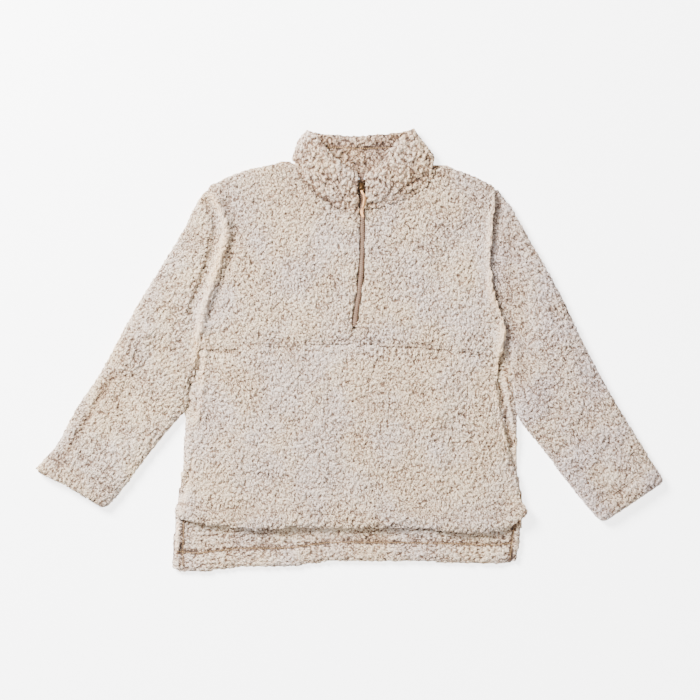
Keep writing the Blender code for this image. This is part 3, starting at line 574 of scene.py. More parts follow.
def outer_skin(mesh_maker):
    """Closes a tube into one solid, without the narrow slit inside it."""
    tree = BVHTree.FromBMesh(mesh_maker)
    inside = []
    for face in mesh_maker.faces:
        centre = face.calc_center_median()
        hit = tree.ray_cast(centre + face.normal * SKIN, face.normal, SLEEVE_SLIT)[0]
        if hit:
            inside.append(face)
    bmesh.ops.delete(mesh_maker, geom=inside, context="FACES")
    bmesh.ops.holes_fill(mesh_maker, edges=mesh_maker.edges, sides=0)


def inward_of(node):
    """Directions of a cuff: along its mouth, and up into its sleeve."""
    outer, inner = CUFFS[node]
    along = (inner - outer).normalized()
    inward = Vector((-along.y, along.x, 0.0))
    return along, inward if inward.y > 0.0 else -inward


def open_cuff(mesh_maker, node):
    """Opens a sleeve at its mouth, whose lips turn in, and at its armhole, which the fronts hide."""
    outer, inner = CUFFS[node]
    along, inward = inward_of(node)
    width = (inner - outer).length
    mesh_maker.normal_update()
    mouth = []
    for face in mesh_maker.faces:
        centre = face.calc_center_median()
        place = centre - outer
        share = place.dot(along) / width
        facing_out = face.normal.dot(inward) < -0.9
        if MOUTH_ENDS < share < 1.0 - MOUTH_ENDS and place.dot(inward) < MOUTH_DEPTH and facing_out:
            mouth.append(face)
    bmesh.ops.delete(mesh_maker, geom=mouth, context="FACES")
    rim = [edge for edge in mesh_maker.edges if edge.is_boundary]
    seam = mesh_maker.verts.layers.float["seam"]
    ring, lips = rim, set()
    for _ in range(LIP_ROWS):
        made = bmesh.ops.extrude_edge_only(mesh_maker, edges=ring)["geom"]
        for vert in [item for item in made if isinstance(item, bmesh.types.BMVert)]:
            vert.co += inward * LIP_DEPTH / LIP_ROWS
            vert.co.z += (CUFF_MIDDLE - vert.co.z) * LIP_CLOSING
            vert[seam] = LIP_PRESS
        ring = [item for item in made if isinstance(item, bmesh.types.BMEdge) and item.is_boundary]
        for face in [item for item in made if isinstance(item, bmesh.types.BMFace)]:
            lips.update(face.edges)
    bmesh.ops.subdivide_edges(mesh_maker, edges=list(lips), cuts=2, use_grid_fill=True)
    toward = 1.0 if outer.x < 0.0 else -1.0
    armhole = [face for face in mesh_maker.faces if face.normal.x * toward > 0.75
               and face.calc_center_median().y > ARMHOLE_FOOT]
    bmesh.ops.delete(mesh_maker, geom=armhole, context="FACES")
    for vert in mesh_maker.verts:
        if vert.is_boundary and vert.co.y > ARMHOLE_FOOT - 0.01:
            vert.co.x += toward * ARMHOLE_TUCK


def share_of(spot, place):
    """One at the middle of a spot and nought past its reach."""
    return 1.0 - ease(hypot(place.x - spot.middle[0], place.y - spot.middle[1]), 0.0, spot.reach)


def beside_slider(place):
    """One at the edges beside the slider, which keep off the loop of the strap, and nought elsewhere."""
    if not SLIT_FOOT < place.y < SLIT_TOP:
        return 0.0
    along = ease(place.y, SLIT_FOOT, SLIT_FOOT + SLIT_END)
    along *= 1.0 - ease(place.y, SLIT_TOP - SLIT_END, SLIT_TOP)
    return along * (1.0 - ease(abs(place.x - zip_x(place.y)), SLIT_HALF, SLIT_REACH))


def smooth_form(node, voxel, tubular=False):
    """Even mesh of a node's form, its edges softened as thick cloth is."""
    mesh_maker = cad_copy(node)
    if tubular:
        outer_skin(mesh_maker)
    form = object_of(node + "_form", mesh_maker)
    remesh = form.modifiers.new("even", "REMESH")
    remesh.mode = "VOXEL"
    remesh.voxel_size = voxel
    applied(form)
    mesh_maker = bmesh.new()
    mesh_maker.from_mesh(form.data)
    bpy.data.objects.remove(form)
    for _ in range(sizes().smoothing):
        bmesh.ops.smooth_vert(mesh_maker, verts=mesh_maker.verts, factor=0.5, use_axis_x=True,
                              use_axis_y=True, use_axis_z=True)
    mesh_maker.normal_update()
    for vert in mesh_maker.verts:
        flat = Vector((vert.normal.x, vert.normal.y, 0.0))
        fullness = EDGE_FULLNESS + sum(more.amount * share_of(more, vert.co) for more in FULLNESSES)
        vert.co += flat * fullness * (1.0 - beside_slider(vert.co))
        for bulge in BULGES:
            vert.co += Vector((*bulge.shift, 0.0)) * share_of(bulge, vert.co)
    return mesh_maker


def tone_at(node, place, lines):
    """How much browner the pile is than on the fronts, below nought paler: in places painted shade and
    highlight.
    """
    if node == "collar":
        inside = (1.0 - ease(place.z, *COLLAR_INSIDE_Z)) * ease(place.y, *COLLAR_INSIDE_Y)
        return TONES["collar"] + TONES["collar_inside"] * inside
    if node == "back":
        if place.y > TAIL_START:
            return TONES["back"]
        row = min(lines["back"][0], key=lambda point: abs(point.x - place.x))
        turned = 1.0 - min(ease(place.y - row.y, *TAIL_HEM_FADE), ease(place.x, *VENT_FADE_X))
        return TONES["tail"] + TONES["tail_hem"] * turned
    if node == "front_lower":
        row = min(lines["front_lower"][0], key=lambda point: abs(point.x - place.x))
        hem = 1.0 - ease(place.y - row.y, *FRONT_HEM_FADE)
        side = 1.0 - ease(place.x, *FRONT_SIDE_X)
        return TONES["front_hem"] * hem + TONES["front_side"] * side + TONES["front_lower"]
    if node in CUFFS:
        up_sleeve = (place - CUFFS[node][0]).dot(inward_of(node)[1])
        return TONES["cuff"] * (1.0 - ease(up_sleeve, *CUFF_FADE))
    return TONES["neck"] * ease(place.y, *NECK_FADE_Y)


def press_seams(mesh_maker, node, lines):
    """Marks how near each point is to a seam or a row of stitches, and sinks it there."""
    seam = mesh_maker.verts.layers.float.new("seam")
    tone = mesh_maker.verts.layers.float.new("tone")
    trees = [cad_tree(other) for other in NEIGHBOURS[node]]
    rows = [line_tree(spaced(line, LINE_STEP)) for line in lines.get(node, ())]
    folds = []
    for fold in FOLDS:
        if fold.nodes and node not in fold.nodes.split():
            continue
        points = spaced([Vector((x, y, 0.0)) for x, y in fold.line], LINE_STEP)
        xs, ys = [point.x for point in points], [point.y for point in points]
        folds.append((line_tree(points), min(xs), max(xs), min(ys), max(ys), fold))
    reach = sizes().seam_width
    strength = 1.0 if node in CLEAR_ROWS else FAINT_ROW
    for vert in mesh_maker.verts:
        shade = tone_at(node, vert.co, lines)
        flat = Vector((vert.co.x, vert.co.y, 0.0))
        near = SLIT_PRESS * beside_slider(vert.co)
        up = vert.normal.z
        if up > -0.5:
            for tree in trees:
                found = tree.find_nearest(vert.co, SEAM_REACH)
                if found[0]:
                    near = max(near, (1.0 - found[3] / reach) * SEAM_SHARE)
                    # The smoothing rounds an edge off, and here the next panel goes on from it
                    share = 1.0 - found[3] / SEAM_REACH
                    vert.co.z += SEAM_FILL * (1.0 - up) * share
                    vert.co += Vector((vert.normal.x, vert.normal.y, 0.0)) * SEAM_OVERLAP * share
        if up > 0.0:
            for tree in rows:
                gap = tree.find(flat)[2]
                if gap < reach:
                    share = (1.0 - gap / reach) ** 0.7 * strength
                    near = max(near, share)
                    shade += ROW_TONE * share * share
                    vert.co.z -= STITCH_SINK * share
            for tree, x0, x1, y0, y1, fold in folds:
                half = fold.half
                if not (x0 - half < flat.x < x1 + half and y0 - half < flat.y < y1 + half):
                    continue
                gap = tree.find(flat)[2]
                if gap < half:
                    share = (1.0 - (gap / half) ** 2) ** 2
                    vert.co.z += fold.height * share * min(up * 2.0, 1.0)
                    shade += fold.tone * share
        vert[seam] = near
        vert[tone] = min(max(shade, PALEST), BROWNEST)


def divide_top(mesh_maker, cuts, wanted):
    """Finer cells where the cloth shows."""
    edges = set()
    for face in mesh_maker.faces:
        if wanted(face):
            edges.update(face.edges)
    bmesh.ops.subdivide_edges(mesh_maker, edges=list(edges), cuts=cuts, use_grid_fill=True)


def pile_tree(name, nap, stretch, curl, height, warp):
    """Geometry nodes that raise curls of pile on a form and keep how high each point stands."""
    tree = bpy.data.node_groups.new(name, "GeometryNodeTree")
    tree.interface.new_socket("Geometry", in_out="INPUT", socket_type="NodeSocketGeometry")
    tree.interface.new_socket("Geometry", in_out="OUTPUT", socket_type="NodeSocketGeometry")

    def kept_value(name):
        """Value that the mesh keeps at each point."""
        node = add_node(tree, "GeometryNodeInputNamedAttribute", {"data_type": "FLOAT"}, {"Name": name})
        return node.outputs[0]

    start = add_node(tree, "NodeGroupInput")
    position = add_node(tree, "GeometryNodeInputPosition").outputs[0]
    normal = add_node(tree, "GeometryNodeInputNormal").outputs[0]
    turned = add_node(tree, "ShaderNodeVectorRotate", {"rotation_type": "Z_AXIS"},
                      {"Vector": position, "Angle": -nap}).outputs[0]
    place = curl_place(tree, turned, curl * 1.7, warp, (1.0 / curl, 1.0 / (curl * stretch), 0.8 / curl))
    cells = add_node(tree, "ShaderNodeTexVoronoi", {"feature": "SMOOTH_F1"},
                     {"Vector": place, "Scale": 1.0, "Smoothness": 0.35})
    fine = noise(tree, turned, curl * 0.55, 1.0)
    patches = noise(tree, turned, 0.020, 2.0)
    # Rounded curls, their strands, and wider rises and falls
    curls = reckon(tree, "MULTIPLY_ADD", cells.outputs["Distance"], -1.30, 1.10)
    strands = reckon(tree, "MULTIPLY_ADD", fine.outputs[0], 0.90, -0.45)
    rises = reckon(tree, "MULTIPLY_ADD", patches.outputs[0], 0.70, -0.35)
    summed = reckon(tree, "ADD", reckon(tree, "ADD", curls, strands), rises, clamp=True)
    kept = add_node(tree, "GeometryNodeStoreNamedAttribute", {"data_type": "FLOAT", "domain": "POINT"},
                    {"Geometry": start.outputs[0], "Name": "pile", "Value": summed})
    # The underside has next to no pile, and a seam presses it down
    facing = add_node(tree, "ShaderNodeSeparateXYZ", {}, {0: normal}).outputs["Z"]
    shown = add_node(tree, "ShaderNodeMapRange", {"clamp": True},
                     {"Value": facing, "From Min": -0.45, "From Max": 0.35, "To Min": 0.15, "To Max": 1.0})
    pressed = reckon(tree, "MULTIPLY_ADD", kept_value("seam"), -0.80, 1.0)
    lift = reckon(tree, "SUBTRACT", kept_value("pile"), 0.62)
    for share in (height, shown.outputs["Result"], pressed, lying_flat(tree, kept_value("tone"))):
        lift = reckon(tree, "MULTIPLY", lift, share)
    placed = add_node(tree, "GeometryNodeSetPosition", {},
                      {"Geometry": kept.outputs[0], "Offset": reckon_vector(tree, "SCALE", normal, lift)})
    add_node(tree, "NodeGroupOutput", {}, {0: placed.outputs[0]})
    return tree


def raise_pile(item, nap, stretch=1.3, size=1.0, height=1.0):
    """Raises the pile of a panel's cloth, which stays above the surface that it lies on."""
    tree = pile_tree(item.name + "_pile", nap, stretch, sizes().curl * size, sizes().pile * height,
                     sizes().curl * 1.1)
    modifier = item.modifiers.new("pile", "NODES")
    modifier.node_group = tree
    applied(item)
    bpy.data.node_groups.remove(tree)
    for vert in item.data.vertices:
        vert.co.z = max(vert.co.z, UNDERSIDE)


def ramp_of(tree, value, stops):
    """Colour ramp through pairs of a place and a colour."""
    ramp = add_node(tree, "ShaderNodeValToRGB", {}, {"Fac": value})
    elements = ramp.color_ramp.elements
    for index, (place, color) in enumerate(stops):
        stop = elements[index] if index < 2 else elements.new(place)
        stop.position = place
        stop.color = (*color, 1.0)
    return ramp.outputs["Color"]


def tinted(tree, factor, color, tint):
    """A colour multiplied by a tint, as far as the factor says."""
    return add_node(tree, "ShaderNodeMix", {"data_type": "RGBA", "blend_type": "MULTIPLY"},
                    {"Factor": factor, 6: color, 7: tint}).outputs[2]


def new_material(name):
    """Material with its nodes, and its shader."""
    material = bpy.data.materials.new(name)
    material.use_nodes = True
    return material, material.node_tree, material.node_tree.nodes["Principled BSDF"]


def sherpa_material(name, nap, curl, painted_light_cast):
    """Frosted polyester sherpa, knitted and brushed into curls: matt, with cream tips and brown roots."""
    material, tree, shader = new_material(name)
    hue = colours()
    size = sizes().curl * curl
    pile, seam, tone = [add_node(tree, "ShaderNodeAttribute", {"attribute_name": kept}).outputs["Fac"]
                        for kept in ("pile", "seam", "tone")]
    where = add_node(tree, "ShaderNodeTexCoord").outputs["Object"]
    turned = add_node(tree, "ShaderNodeMapping", {}, {"Vector": where, "Rotation": (0.0, 0.0, -nap)}).outputs[0]
    place = curl_place(tree, turned, size * 1.3, size * 1.9, (1.12 / size, 0.76 / size, 0.9 / size))
    # One cell is one curl; the edges of the cells are the gaps down to the brown knit
    cells = add_node(tree, "ShaderNodeTexVoronoi", {"feature": "SMOOTH_F1"},
                     {"Vector": place, "Scale": 1.0, "Smoothness": 0.25})
    fibres = noise(tree, place, 1.0 / 2.3, 2.0, 0.6).outputs[0]
    zones = noise(tree, where, 0.040, 3.0, 0.6).outputs[0]
    curls = reckon(tree, "MULTIPLY_ADD", cells.outputs["Distance"], -0.95, 0.86)
    relief = reckon(tree, "SUBTRACT", reckon(tree, "MULTIPLY_ADD", fibres, 0.75, curls), 0.375)
    level = reckon(tree, "MULTIPLY_ADD", zones, 0.38, -0.19)
    # The tone shifts the ramp: the cloth's own browner seams, and painted shade and painted highlight
    level = reckon(tree, "MULTIPLY_ADD", tone, 0.4, level)
    level = reckon(tree, "MULTIPLY_ADD", seam, 0.24, level)
    lying = lying_flat(tree, tone)
    # Where the tone paints a highlight, the colour's relief fades towards one pale shade
    shade = reckon(tree, "SUBTRACT", reckon(tree, "MULTIPLY_ADD", pile, 0.35, relief), PALE_SHADE)
    shade = reckon(tree, "MULTIPLY_ADD", shade, lying, PALE_SHADE)
    shade = reckon(tree, "SUBTRACT", shade, level)
    # From brown roots to cream tips: the frosted yarn's own colour, and lower down between the curls painted
    # shade too
    color = ramp_of(tree, shade, ((0.16, hue.root), (0.36, hue.deep), (0.54, hue.body), (0.77, hue.tip)))
    # Above nought the tone tints the colour browner: the knit of the seams, and painted shade in the hollows,
    # the pocket slit, the collar's inside and the tail under the front hem; below nought it tints it creamier,
    # painted highlight on the welts, ridges and turned edges
    color = tinted(tree, reckon(tree, "MULTIPLY", tone, 4.0, clamp=True), color, (*hue.inside, 1.0))
    color = tinted(tree, reckon(tree, "MULTIPLY", tone, -2.0, clamp=True), color, (*hue.cream, 1.0))
    # The whole cloth is here warmer and there cooler
    warmth = noise(tree, where, 0.085, 2.0).outputs[0]
    # Each panel's cast of painted light tints both kinds of patch
    cool, warm = [[value * share for value, share in zip(tint, painted_light_cast)] for tint in (hue.cool, hue.warm)]
    color = tinted(tree, 1.0, color, ramp_of(tree, warmth, ((0.40, cool), (0.60, warm))))
    tree.links.new(color, shader.inputs["Base Color"])
    hairs = noise(tree, place, 1.0 / 7.0, 0.0).outputs[0]
    bump = add_node(tree, "ShaderNodeBump", {}, {"Strength": lying, "Distance": 3.3 * MM,
                                                 "Height": reckon(tree, "MULTIPLY_ADD", hairs, 0.22, relief)})
    tree.links.new(bump.outputs[0], shader.inputs["Normal"])
    for socket, value in (("Roughness", 0.95), ("Specular IOR Level", 0.10), ("Sheen Weight", 0.20),
                          ("Sheen Roughness", 0.6)):
        shader.inputs[socket].default_value = value
    return material


def plain_material(name, color, roughness, metallic=0.0, grain=0.4 * MM, depth=0.05 * MM, spread=0.12):
    """A finish of one colour with a fine grain that varies its colour and its relief."""
    material, tree, shader = new_material(name)
    where = add_node(tree, "ShaderNodeTexCoord").outputs["Object"]
    fine = noise(tree, where, grain, 3.0).outputs[0]
    dark = [value * (1.0 - spread * 2.0) for value in color]
    light = [min(value * (1.0 + spread), 1.0) for value in color]
    tree.links.new(ramp_of(tree, fine, ((0.3, dark), (0.7, light))), shader.inputs["Base Color"])
    bump = add_node(tree, "ShaderNodeBump", {}, {"Strength": 0.5, "Distance": depth, "Height": fine})
    tree.links.new(bump.outputs[0], shader.inputs["Normal"])
    shader.inputs["Roughness"].default_value = roughness
    shader.inputs["Metallic"].default_value = metallic
    return material


def dress(item, body, node, material):
    """Gives a piece its material and its body, and hides the part that it stands for, if it has one."""
    item.data.materials.append(material)
    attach(item, body)
    if node:
        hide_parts(node)


def fleece(node, lines, nap, shown, voxel=None, cuts=2, tubular=False, curl=1.0, height=1.0):
    """One panel of sherpa: its form, its seams pressed in, and its pile."""
    mesh_maker = smooth_form(node, voxel or sizes().voxel, tubular)
    mesh_maker.normal_update()
    press_seams(mesh_maker, node, lines)
    if tubular:
        open_cuff(mesh_maker, node)
    divide_top(mesh_maker, cuts, shown)
    item = object_of(node + "_cloth", mesh_maker)
    raise_pile(item, nap, size=curl * MESH_CURL, height=height)
    material = sherpa_material(node + "_sherpa", nap, curl, PAINTED_LIGHT_CASTS.get(node, PLAIN_CAST))
    dress(item, "garment", node, material)


def upward(face):
    """Whether a face looks up, or to its side."""
    return face.normal.z > -0.05


def back_shows(face):
    """Whether a face of the back shows from above."""
    middle = face.calc_center_median()
    return upward(face) and (middle.y < BACK_SHOWS_BELOW or abs(middle.x) > BACK_SHOWS_BEYOND)


class PULLOVER_OT_back(bpy.types.Operator):
    """Back panel, whose inside shows at the tail and at the neck"""
    bl_idname = "pullover.back"
    bl_label = "Back"

    def execute(self, context):
        fleece("back", hem_lines(), BACK_NAP, back_shows, curl=BACK_CURL)
        return {"FINISHED"}


class PULLOVER_OT_fronts(bpy.types.Operator):
    """Lower front and the two upper fronts"""
    bl_idname = "pullover.fronts"
    bl_label = "Fronts"

    def execute(self, context):
        lines = hem_lines()
        for node in ("front_lower", "front_upper_left", "front_upper_right"):
            fleece(node, lines, FRONT_NAP, upward)
        return {"FINISHED"}


class PULLOVER_OT_sleeves(bpy.types.Operator):
    """Both sleeves, with their turned cuffs"""
    bl_idname = "pullover.sleeves"
    bl_label = "Sleeves"

    def execute(self, context):
        lines = hem_lines()
        for node, nap in SLEEVE_NAPS.items():
            fleece(node, lines, nap, upward, tubular=True)
        return {"FINISHED"}


class PULLOVER_OT_collar(bpy.types.Operator):
    """Stand collar, whose inside shows at the back of the neck"""
    bl_idname = "pullover.collar"
    bl_label = "Collar"

    def execute(self, context):
        fleece("collar", hem_lines(), FRONT_NAP, lambda face: face.normal.z > -0.4,
               voxel=sizes().collar_voxel, cuts=1, curl=COLLAR_CURL, height=COLLAR_PILE)
        return {"FINISHED"}


def zip_x(y):
    """Middle of the zip at a height, on a smooth line through its places."""
    rows = ZIP_LINE
    for (x0, y0), (x1, y1) in zip(rows, rows[1:]):
        if y >= y1:
            return x0 + (x1 - x0) * ease_line((y0 - y) / (y0 - y1))
    return rows[-1][0]


def ease_line(share):
    """Halfway between an even line and one with a soft start and end."""
    share = min(max(share, 0.0), 1.0)
    return share * 0.5 + 0.5 * share * share * (3.0 - 2.0 * share)


def follow_zip(mesh_maker):
    """Moves what was made straight onto the line of the zip."""
    for vert in mesh_maker.verts:
        vert.co.x += zip_x(vert.co.y)


def block(mesh_maker, middle, size):
    """Corners of a new box."""
    placed = Matrix.Translation(middle) @ Matrix.Diagonal((*size, 1.0))
    return bmesh.ops.create_cube(mesh_maker, size=1.0, matrix=placed)["verts"]


def spun_wire(mesh_maker, sides, wire, start, **turn):
    """A wire made by spinning a ring, which start places, about an axis through the origin."""
    ring = bmesh.ops.create_circle(mesh_maker, segments=sides, radius=wire / 2.0, matrix=start)["verts"]
    edges = {edge for vert in ring for edge in vert.link_edges}
    bmesh.ops.spin(mesh_maker, geom=ring + list(edges), cent=(0.0, 0.0, 0.0), **turn)


def helix(mesh_maker, low, high, side_x, height, half_width, half_height, wire, pitch, right):
    """A turn of wire spun along Y into a coil."""
    turns = max(int((high - low) / pitch), 1)
    spun_wire(mesh_maker, 5, wire, Matrix.Translation((half_width, 0.0, 0.0)), axis=(0.0, 1.0, 0.0),
              dvec=(0.0, pitch / COIL_STEPS, 0.0), angle=tau * turns * (1.0 if right else -1.0),
              steps=COIL_STEPS * turns)
    flatten = half_height / half_width
    for vert in mesh_maker.verts:
        if not vert.tag:
            vert.co = Vector((vert.co.x + side_x, vert.co.y + low, vert.co.z * flatten + height))
            vert.tag = True


def coil_piece(name, low, high, apart, node):
    """The two coils of a stretch of the zip."""
    mesh_maker = bmesh.new()
    pitch = sizes().tooth_pitch
    for sign in (-1.0, 1.0):
        helix(mesh_maker, low, high - pitch, sign * apart, COIL_MIDDLE, COIL_HALF_WIDTH, COIL_HALF_HEIGHT,
              COIL_WIRE, pitch, sign > 0.0)
    follow_zip(mesh_maker)
    material = (bpy.data.materials.get("moulded_nylon_coil")
                or plain_material("moulded_nylon_coil", colours().coil, 0.45))
    dress(object_of(name, mesh_maker, outward=True), "garment", node, material)


class PULLOVER_OT_zip(bpy.types.Operator):
    """Woven tape and coil of the zip, closed below the slider and open above it"""
    bl_idname = "pullover.zip"
    bl_label = "Zip"

    def execute(self, context):
        mesh_maker = bmesh.new()
        length = ZIP_TOP - TAPE_FOOT
        bmesh.ops.create_grid(mesh_maker, x_segments=8, y_segments=60, size=0.5)
        for vert in mesh_maker.verts:
            share = abs(vert.co.x) * 2.0
            z = TAPE_TOP + TAPE_RISE * ease(share, 0.35, 0.6) - TAPE_FALL * ease(share, 0.8, 1.0)
            vert.co = Vector((vert.co.x * 2.0 * TAPE_HALF, TAPE_FOOT + (vert.co.y + 0.5) * length, z))
        bmesh.ops.solidify(mesh_maker, geom=mesh_maker.faces, thickness=TAPE_THICK)
        follow_zip(mesh_maker)
        material = plain_material("woven_polyester_tape", colours().tape, 0.85, grain=0.7 * MM, depth=0.25 * MM)
        dress(object_of("zip_tape_woven", mesh_maker), "garment", "zip_tape", material)
        coil_piece("zip_coil_closed", TAPE_FOOT, SLIDER_FOOT, COIL_CLOSED, "zip_coil")
        coil_piece("zip_coil_open", SLIDER_TOP, ZIP_TOP, COIL_OPEN, "zip_coil_top")
        return {"FINISHED"}


class PULLOVER_OT_slider(bpy.types.Operator):
    """Slider with its bridge"""
    bl_idname = "pullover.slider"
    bl_label = "Slider"

    def execute(self, context):
        mesh_maker = bmesh.new()
        middle = (SLIDER_FOOT + SLIDER_TOP) / 2.0
        length = SLIDER_TOP - SLIDER_FOOT
        for low, high, wide in SLIDER_PLATES:
            made = bmesh.ops.create_cube(mesh_maker, size=1.0)["verts"]
            edges = list({edge for vert in made for edge in vert.link_edges})
            bmesh.ops.subdivide_edges(mesh_maker, edges=edges, cuts=3, use_grid_fill=True)
            plate = [vert for vert in mesh_maker.verts if not vert.tag]
            for vert in plate:
                share = vert.co.y + 0.5
                shoulder = ease(share, 0.8, 1.0)
                half = SLIDER_HALF * wide * (0.72 + 0.28 * ease(share, 0.25, 0.75) - 0.10 * shoulder)
                notch = -0.0016 * max(1.0 - abs(vert.co.x) * 3.0, 0.0) * shoulder
                dome = 0.0005 * (1.0 - (vert.co.x * 2.0) ** 2) if vert.co.z > 0.0 else 0.0
                vert.co = Vector((vert.co.x * 2.0 * half, middle + vert.co.y * length + notch,
                                  (high if vert.co.z > 0.0 else low) + dome))
                vert.tag = True
        # Its two side walls
        for sign in (-1.0, 1.0):
            place = (sign * (SLIDER_HALF - WALL_INSET), middle + WALL_SHIFT, WALL_MIDDLE)
            for vert in block(mesh_maker, place, (WALL_WIDTH, length * WALL_SHARE, WALL_HEIGHT)):
                vert.tag = True
        # The bridge, an arch that the loop of the strap turns under
        bar = block(mesh_maker, (0.0, BRIDGE_REACH, 0.0), BRIDGE_BAR)
        start = [face for face in {face for vert in bar for face in vert.link_faces} if face.normal.z > 0.5]
        bmesh.ops.spin(mesh_maker, geom=start, cent=(0.0, 0.0, 0.0), axis=(1.0, 0.0, 0.0), angle=pi, steps=10)
        for vert in mesh_maker.verts:
            if not vert.tag:
                vert.co = Vector((vert.co.x, vert.co.y + HINGE[1], vert.co.z * 1.25 + BRIDGE_FOOT))
        follow_zip(mesh_maker)
        slider = object_of("slider_cast", mesh_maker, outward=True)
        bevel = slider.modifiers.new("edges", "BEVEL")
        bevel.width = SLIDER_EDGE
        bevel.segments = 2
        applied(slider)
        slider.data.set_sharp_from_angle(angle=0.7)
        material = plain_material("aged_cast_brass", colours().brass, 0.38, metallic=1.0, grain=1.2 * MM,
                                  depth=0.03 * MM, spread=0.2)
        dress(slider, "garment", "zip_slider", material)
        return {"FINISHED"}


def along_strap(share):
    """How far the strap bends to the right of the zip, at a share of its length."""
    for first, second in zip(STRAP_BENDS, STRAP_BENDS[1:]):
        if share <= second[0]:
            part = ease(share, first[0], second[0])
            return first[1] + (second[1] - first[1]) * part
    return STRAP_BENDS[-1][1]


class PULLOVER_OT_pull(bpy.types.Operator):
    """Wire loop and the leather strap folded over it"""
    bl_idname = "pullover.pull"
    bl_label = "Pull"

    def execute(self, context):
        mesh_maker = bmesh.new()
        bmesh.ops.create_grid(mesh_maker, x_segments=4, y_segments=34, size=0.5)
        bmesh.ops.solidify(mesh_maker, geom=mesh_maker.faces, thickness=0.01)
        levels = [vert.co.z for vert in mesh_maker.verts]
        middle = (max(levels) + min(levels)) / 2.0
        for vert in mesh_maker.verts:
            share = 0.5 - vert.co.y
            up = 1.0 if vert.co.z > middle else -1.0
            # It narrows towards both ends, is twisted below the loop and turns back towards its end
            across = vert.co.x * 2.0 * STRAP_HALF * (1.0 - 0.35 * ease(share, 0.93, 1.0))
            across *= 0.80 + 0.20 * ease(share, 0.02, 0.2)
            turn = -STRAP_TWIST * ease(share, 0.04, 0.25) * (1.0 - 1.7 * ease(share, 0.55, 0.9))
            rise = up * STRAP_THICK / 2.0
            x = along_strap(share)
            z = STRAP_LIFT * ease(share, 0.02, 0.22)
            vert.co = Vector((HINGE[0] + x + across * cos(turn) - rise * sin(turn),
                              HINGE[1] - LOOP_REACH - STRAP_LENGTH * share,
                              HINGE[2] + z + across * sin(turn) + rise * cos(turn)))
        strap = object_of("strap_cut", mesh_maker, outward=True)
        face_leather = plain_material("vegetable_tanned_leather", colours().leather, 0.6, grain=0.9 * MM,
                                      depth=0.12 * MM, spread=0.08)
        painted_shade_leather = plain_material("leather_painted_shade", colours().leather_painted_shade, 0.7, grain=0.6 * MM,
                                      depth=0.1 * MM, spread=0.15)
        dress(strap, "pull", "zip_pull", face_leather)
        strap.data.materials.append(painted_shade_leather)
        # Faces turned to the side or downward take the darker leather: painted shade on the strap's edges and
        # back
        for face in strap.data.polygons:
            if abs(face.normal.z) < 0.55 or face.normal.z < 0.0:
                face.material_index = 1
        # The wire loop that the strap hangs on
        loop = bmesh.new()
        start = Matrix.Translation((LOOP_RADIUS, 0.0, 0.0)) @ Matrix.Rotation(pi / 2.0, 4, "X")
        spun_wire(loop, 8, LOOP_WIRE, start, axis=(0.0, 0.0, 1.0), angle=tau, steps=28)
        bmesh.ops.remove_doubles(loop, verts=loop.verts, dist=1e-6)
        for vert in loop.verts:
            vert.co = Vector((vert.co.x, vert.co.y * 1.05 - LOOP_RADIUS, vert.co.z)) + Vector(HINGE)
        brass = bpy.data.materials["aged_cast_brass"]
        dress(object_of("strap_loop", loop, outward=True), "pull", None, brass)
        return {"FINISHED"}


def sew_row(mesh_maker, tree, line, one):
    """Adds a row of stitches that lies on the pressed pile."""
    places = []
    for point in spaced(line, sizes().stitch):
        hit = tree.ray_cast(Vector((point.x, point.y, ABOVE_ALL)), Vector((0.0, 0.0, -1.0)))[0]
        if hit:
            places.append(hit)
    for first, second in zip(places, places[1:]):
        run = second - first
        if run.length > sizes().stitch * STITCH_GAP:
            continue
        turn = run.to_track_quat("Y", "Z").to_matrix().to_4x4()
        shape = Matrix.Diagonal((sizes().thread / 2.0, run.length * 0.5, sizes().thread / 2.0, 1.0))
        placed = Matrix.Translation((first + second) / 2.0 + Vector((0.0, 0.0, STITCH_LIFT))) @ turn @ shape
        one.transform(placed)
        mesh_maker.from_mesh(one)
        one.transform(placed.inverted())


class PULLOVER_OT_stitches(bpy.types.Operator):
    """Rows of stitches along the hems, the vents and the cuffs"""
    bl_idname = "pullover.stitches"
    bl_label = "Stitches"

    def execute(self, context):
        thread = plain_material("spun_polyester_thread", colours().thread, 0.7, grain=0.5 * MM)
        pale = plain_material("pale_polyester_thread", colours().thread_pale, 0.7, grain=0.5 * MM)
        ball = bmesh.new()
        bmesh.ops.create_uvsphere(ball, u_segments=6, v_segments=5, radius=1.0)
        for node, lines in hem_lines().items():
            surface = bmesh.new()
            surface.from_mesh(bpy.data.objects[node + "_cloth"].data)
            tree = BVHTree.FromBMesh(surface)
            surface.free()
            one = bpy.data.meshes.new("one_stitch")
            ball.to_mesh(one)
            mesh_maker = bmesh.new()
            for line in lines:
                sew_row(mesh_maker, tree, line, one)
            bpy.data.meshes.remove(one)
            item = object_of(node + "_stitches", mesh_maker)
            item.data.materials.append(thread if node in CLEAR_ROWS else pale)
            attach(item, "garment")
        ball.free()
        return {"FINISHED"}


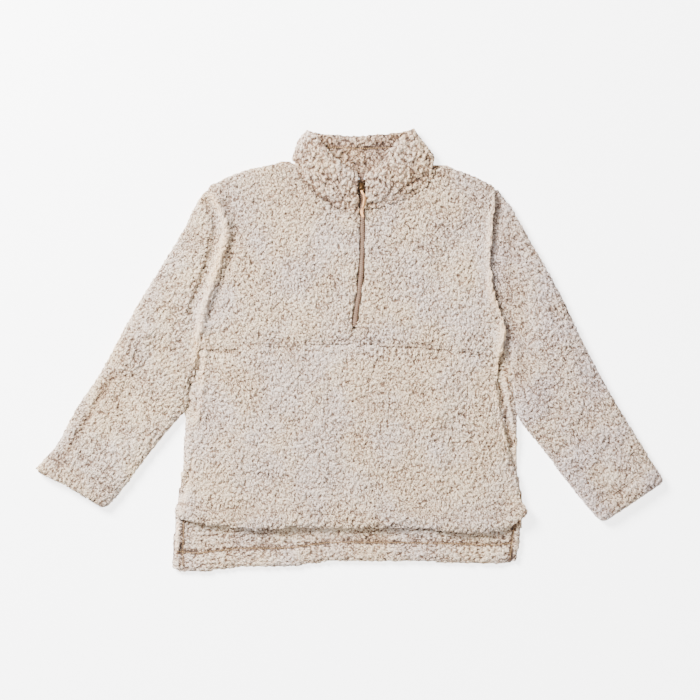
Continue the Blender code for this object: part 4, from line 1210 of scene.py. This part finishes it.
class PULLOVER_OT_stage(bpy.types.Operator):
    """Floor, lights and the camera, straight above"""
    bl_idname = "pullover.stage"
    bl_label = "Stage"

    def execute(self, context):
        mesh_maker = bmesh.new()
        bmesh.ops.create_grid(mesh_maker, x_segments=1, y_segments=1, size=FLOOR_HALF)
        floor = object_of("floor", mesh_maker, smooth=False)
        material, _, shader = new_material("matt_paper")
        shader.inputs["Base Color"].default_value = (*colours().floor, 1.0)
        shader.inputs["Roughness"].default_value = 1.0
        shader.inputs["Specular IOR Level"].default_value = 0.0
        shader.inputs["Emission Color"].default_value = (1.0, 1.0, 1.0, 1.0)
        shader.inputs["Emission Strength"].default_value = FLOOR_GLOW
        floor.data.materials.append(material)
        world = bpy.data.worlds.new("studio")
        world.use_nodes = True
        sky = world.node_tree.nodes["Background"]
        sky.inputs["Color"].default_value = (1.0, 1.0, 1.0, 1.0)
        sky.inputs["Strength"].default_value = WORLD_LIGHT
        context.scene.world = world
        for lamp in LAMPS:
            light = bpy.data.lights.new(lamp.name, "AREA")
            light.shape = "DISK"
            light.size = lamp.size
            light.energy = lamp.power
            holder = bpy.data.objects.new(lamp.name, light)
            holder.location = lamp.place
            holder.rotation_euler = (-Vector(lamp.place)).to_track_quat("-Z", "Y").to_euler()
            context.scene.collection.objects.link(holder)
        camera_data = bpy.data.cameras.new("camera")
        camera_data.sensor_width = SENSOR
        camera_data.lens = SENSOR * CAMERA_HEIGHT / (PHOTO_PIXELS * PIXEL)
        camera_data.clip_end = 50.0
        camera = bpy.data.objects.new("camera", camera_data)
        camera.location = (CAMERA_CENTRE[0], CAMERA_CENTRE[1], CAMERA_HEIGHT + GARMENT_MIDDLE)
        context.scene.collection.objects.link(camera)
        context.scene.camera = camera
        return {"FINISHED"}


OPERATORS = (PULLOVER_OT_stage, PULLOVER_OT_back, PULLOVER_OT_fronts, PULLOVER_OT_sleeves, PULLOVER_OT_collar,
             PULLOVER_OT_zip, PULLOVER_OT_slider, PULLOVER_OT_pull, PULLOVER_OT_stitches)


class PULLOVER_PT_panel(bpy.types.Panel):
    """Sizes, colours and the pieces of the pullover"""
    bl_idname = "PULLOVER_PT_panel"
    bl_label = "Pullover"
    bl_space_type = "VIEW_3D"
    bl_region_type = "UI"
    bl_category = "Pullover"

    def draw(self, context):
        """Every size and colour, and a button for each operator."""
        for group in (context.scene.pullover_sizes, context.scene.pullover_colours):
            for name in group.__annotations__:
                self.layout.prop(group, name)
        for operator in OPERATORS:
            self.layout.operator(operator.bl_idname)


CLASSES = (PulloverSizes, PulloverColours, *OPERATORS, PULLOVER_PT_panel)


def register():
    """Adds the classes, and the sizes and colours that each scene keeps."""
    for item in CLASSES:
        bpy.utils.register_class(item)
    bpy.types.Scene.pullover_sizes = PointerProperty(type=PulloverSizes)
    bpy.types.Scene.pullover_colours = PointerProperty(type=PulloverColours)


def unregister():
    """Takes away all that register adds."""
    del bpy.types.Scene.pullover_sizes
    del bpy.types.Scene.pullover_colours
    for item in reversed(CLASSES):
        bpy.utils.unregister_class(item)


def main():
    """Builds the stage and every piece."""
    register()
    for operator in OPERATORS:
        group, name = operator.bl_idname.split(".")
        getattr(getattr(bpy.ops, group), name)()


if __name__ == "__main__":
    main()
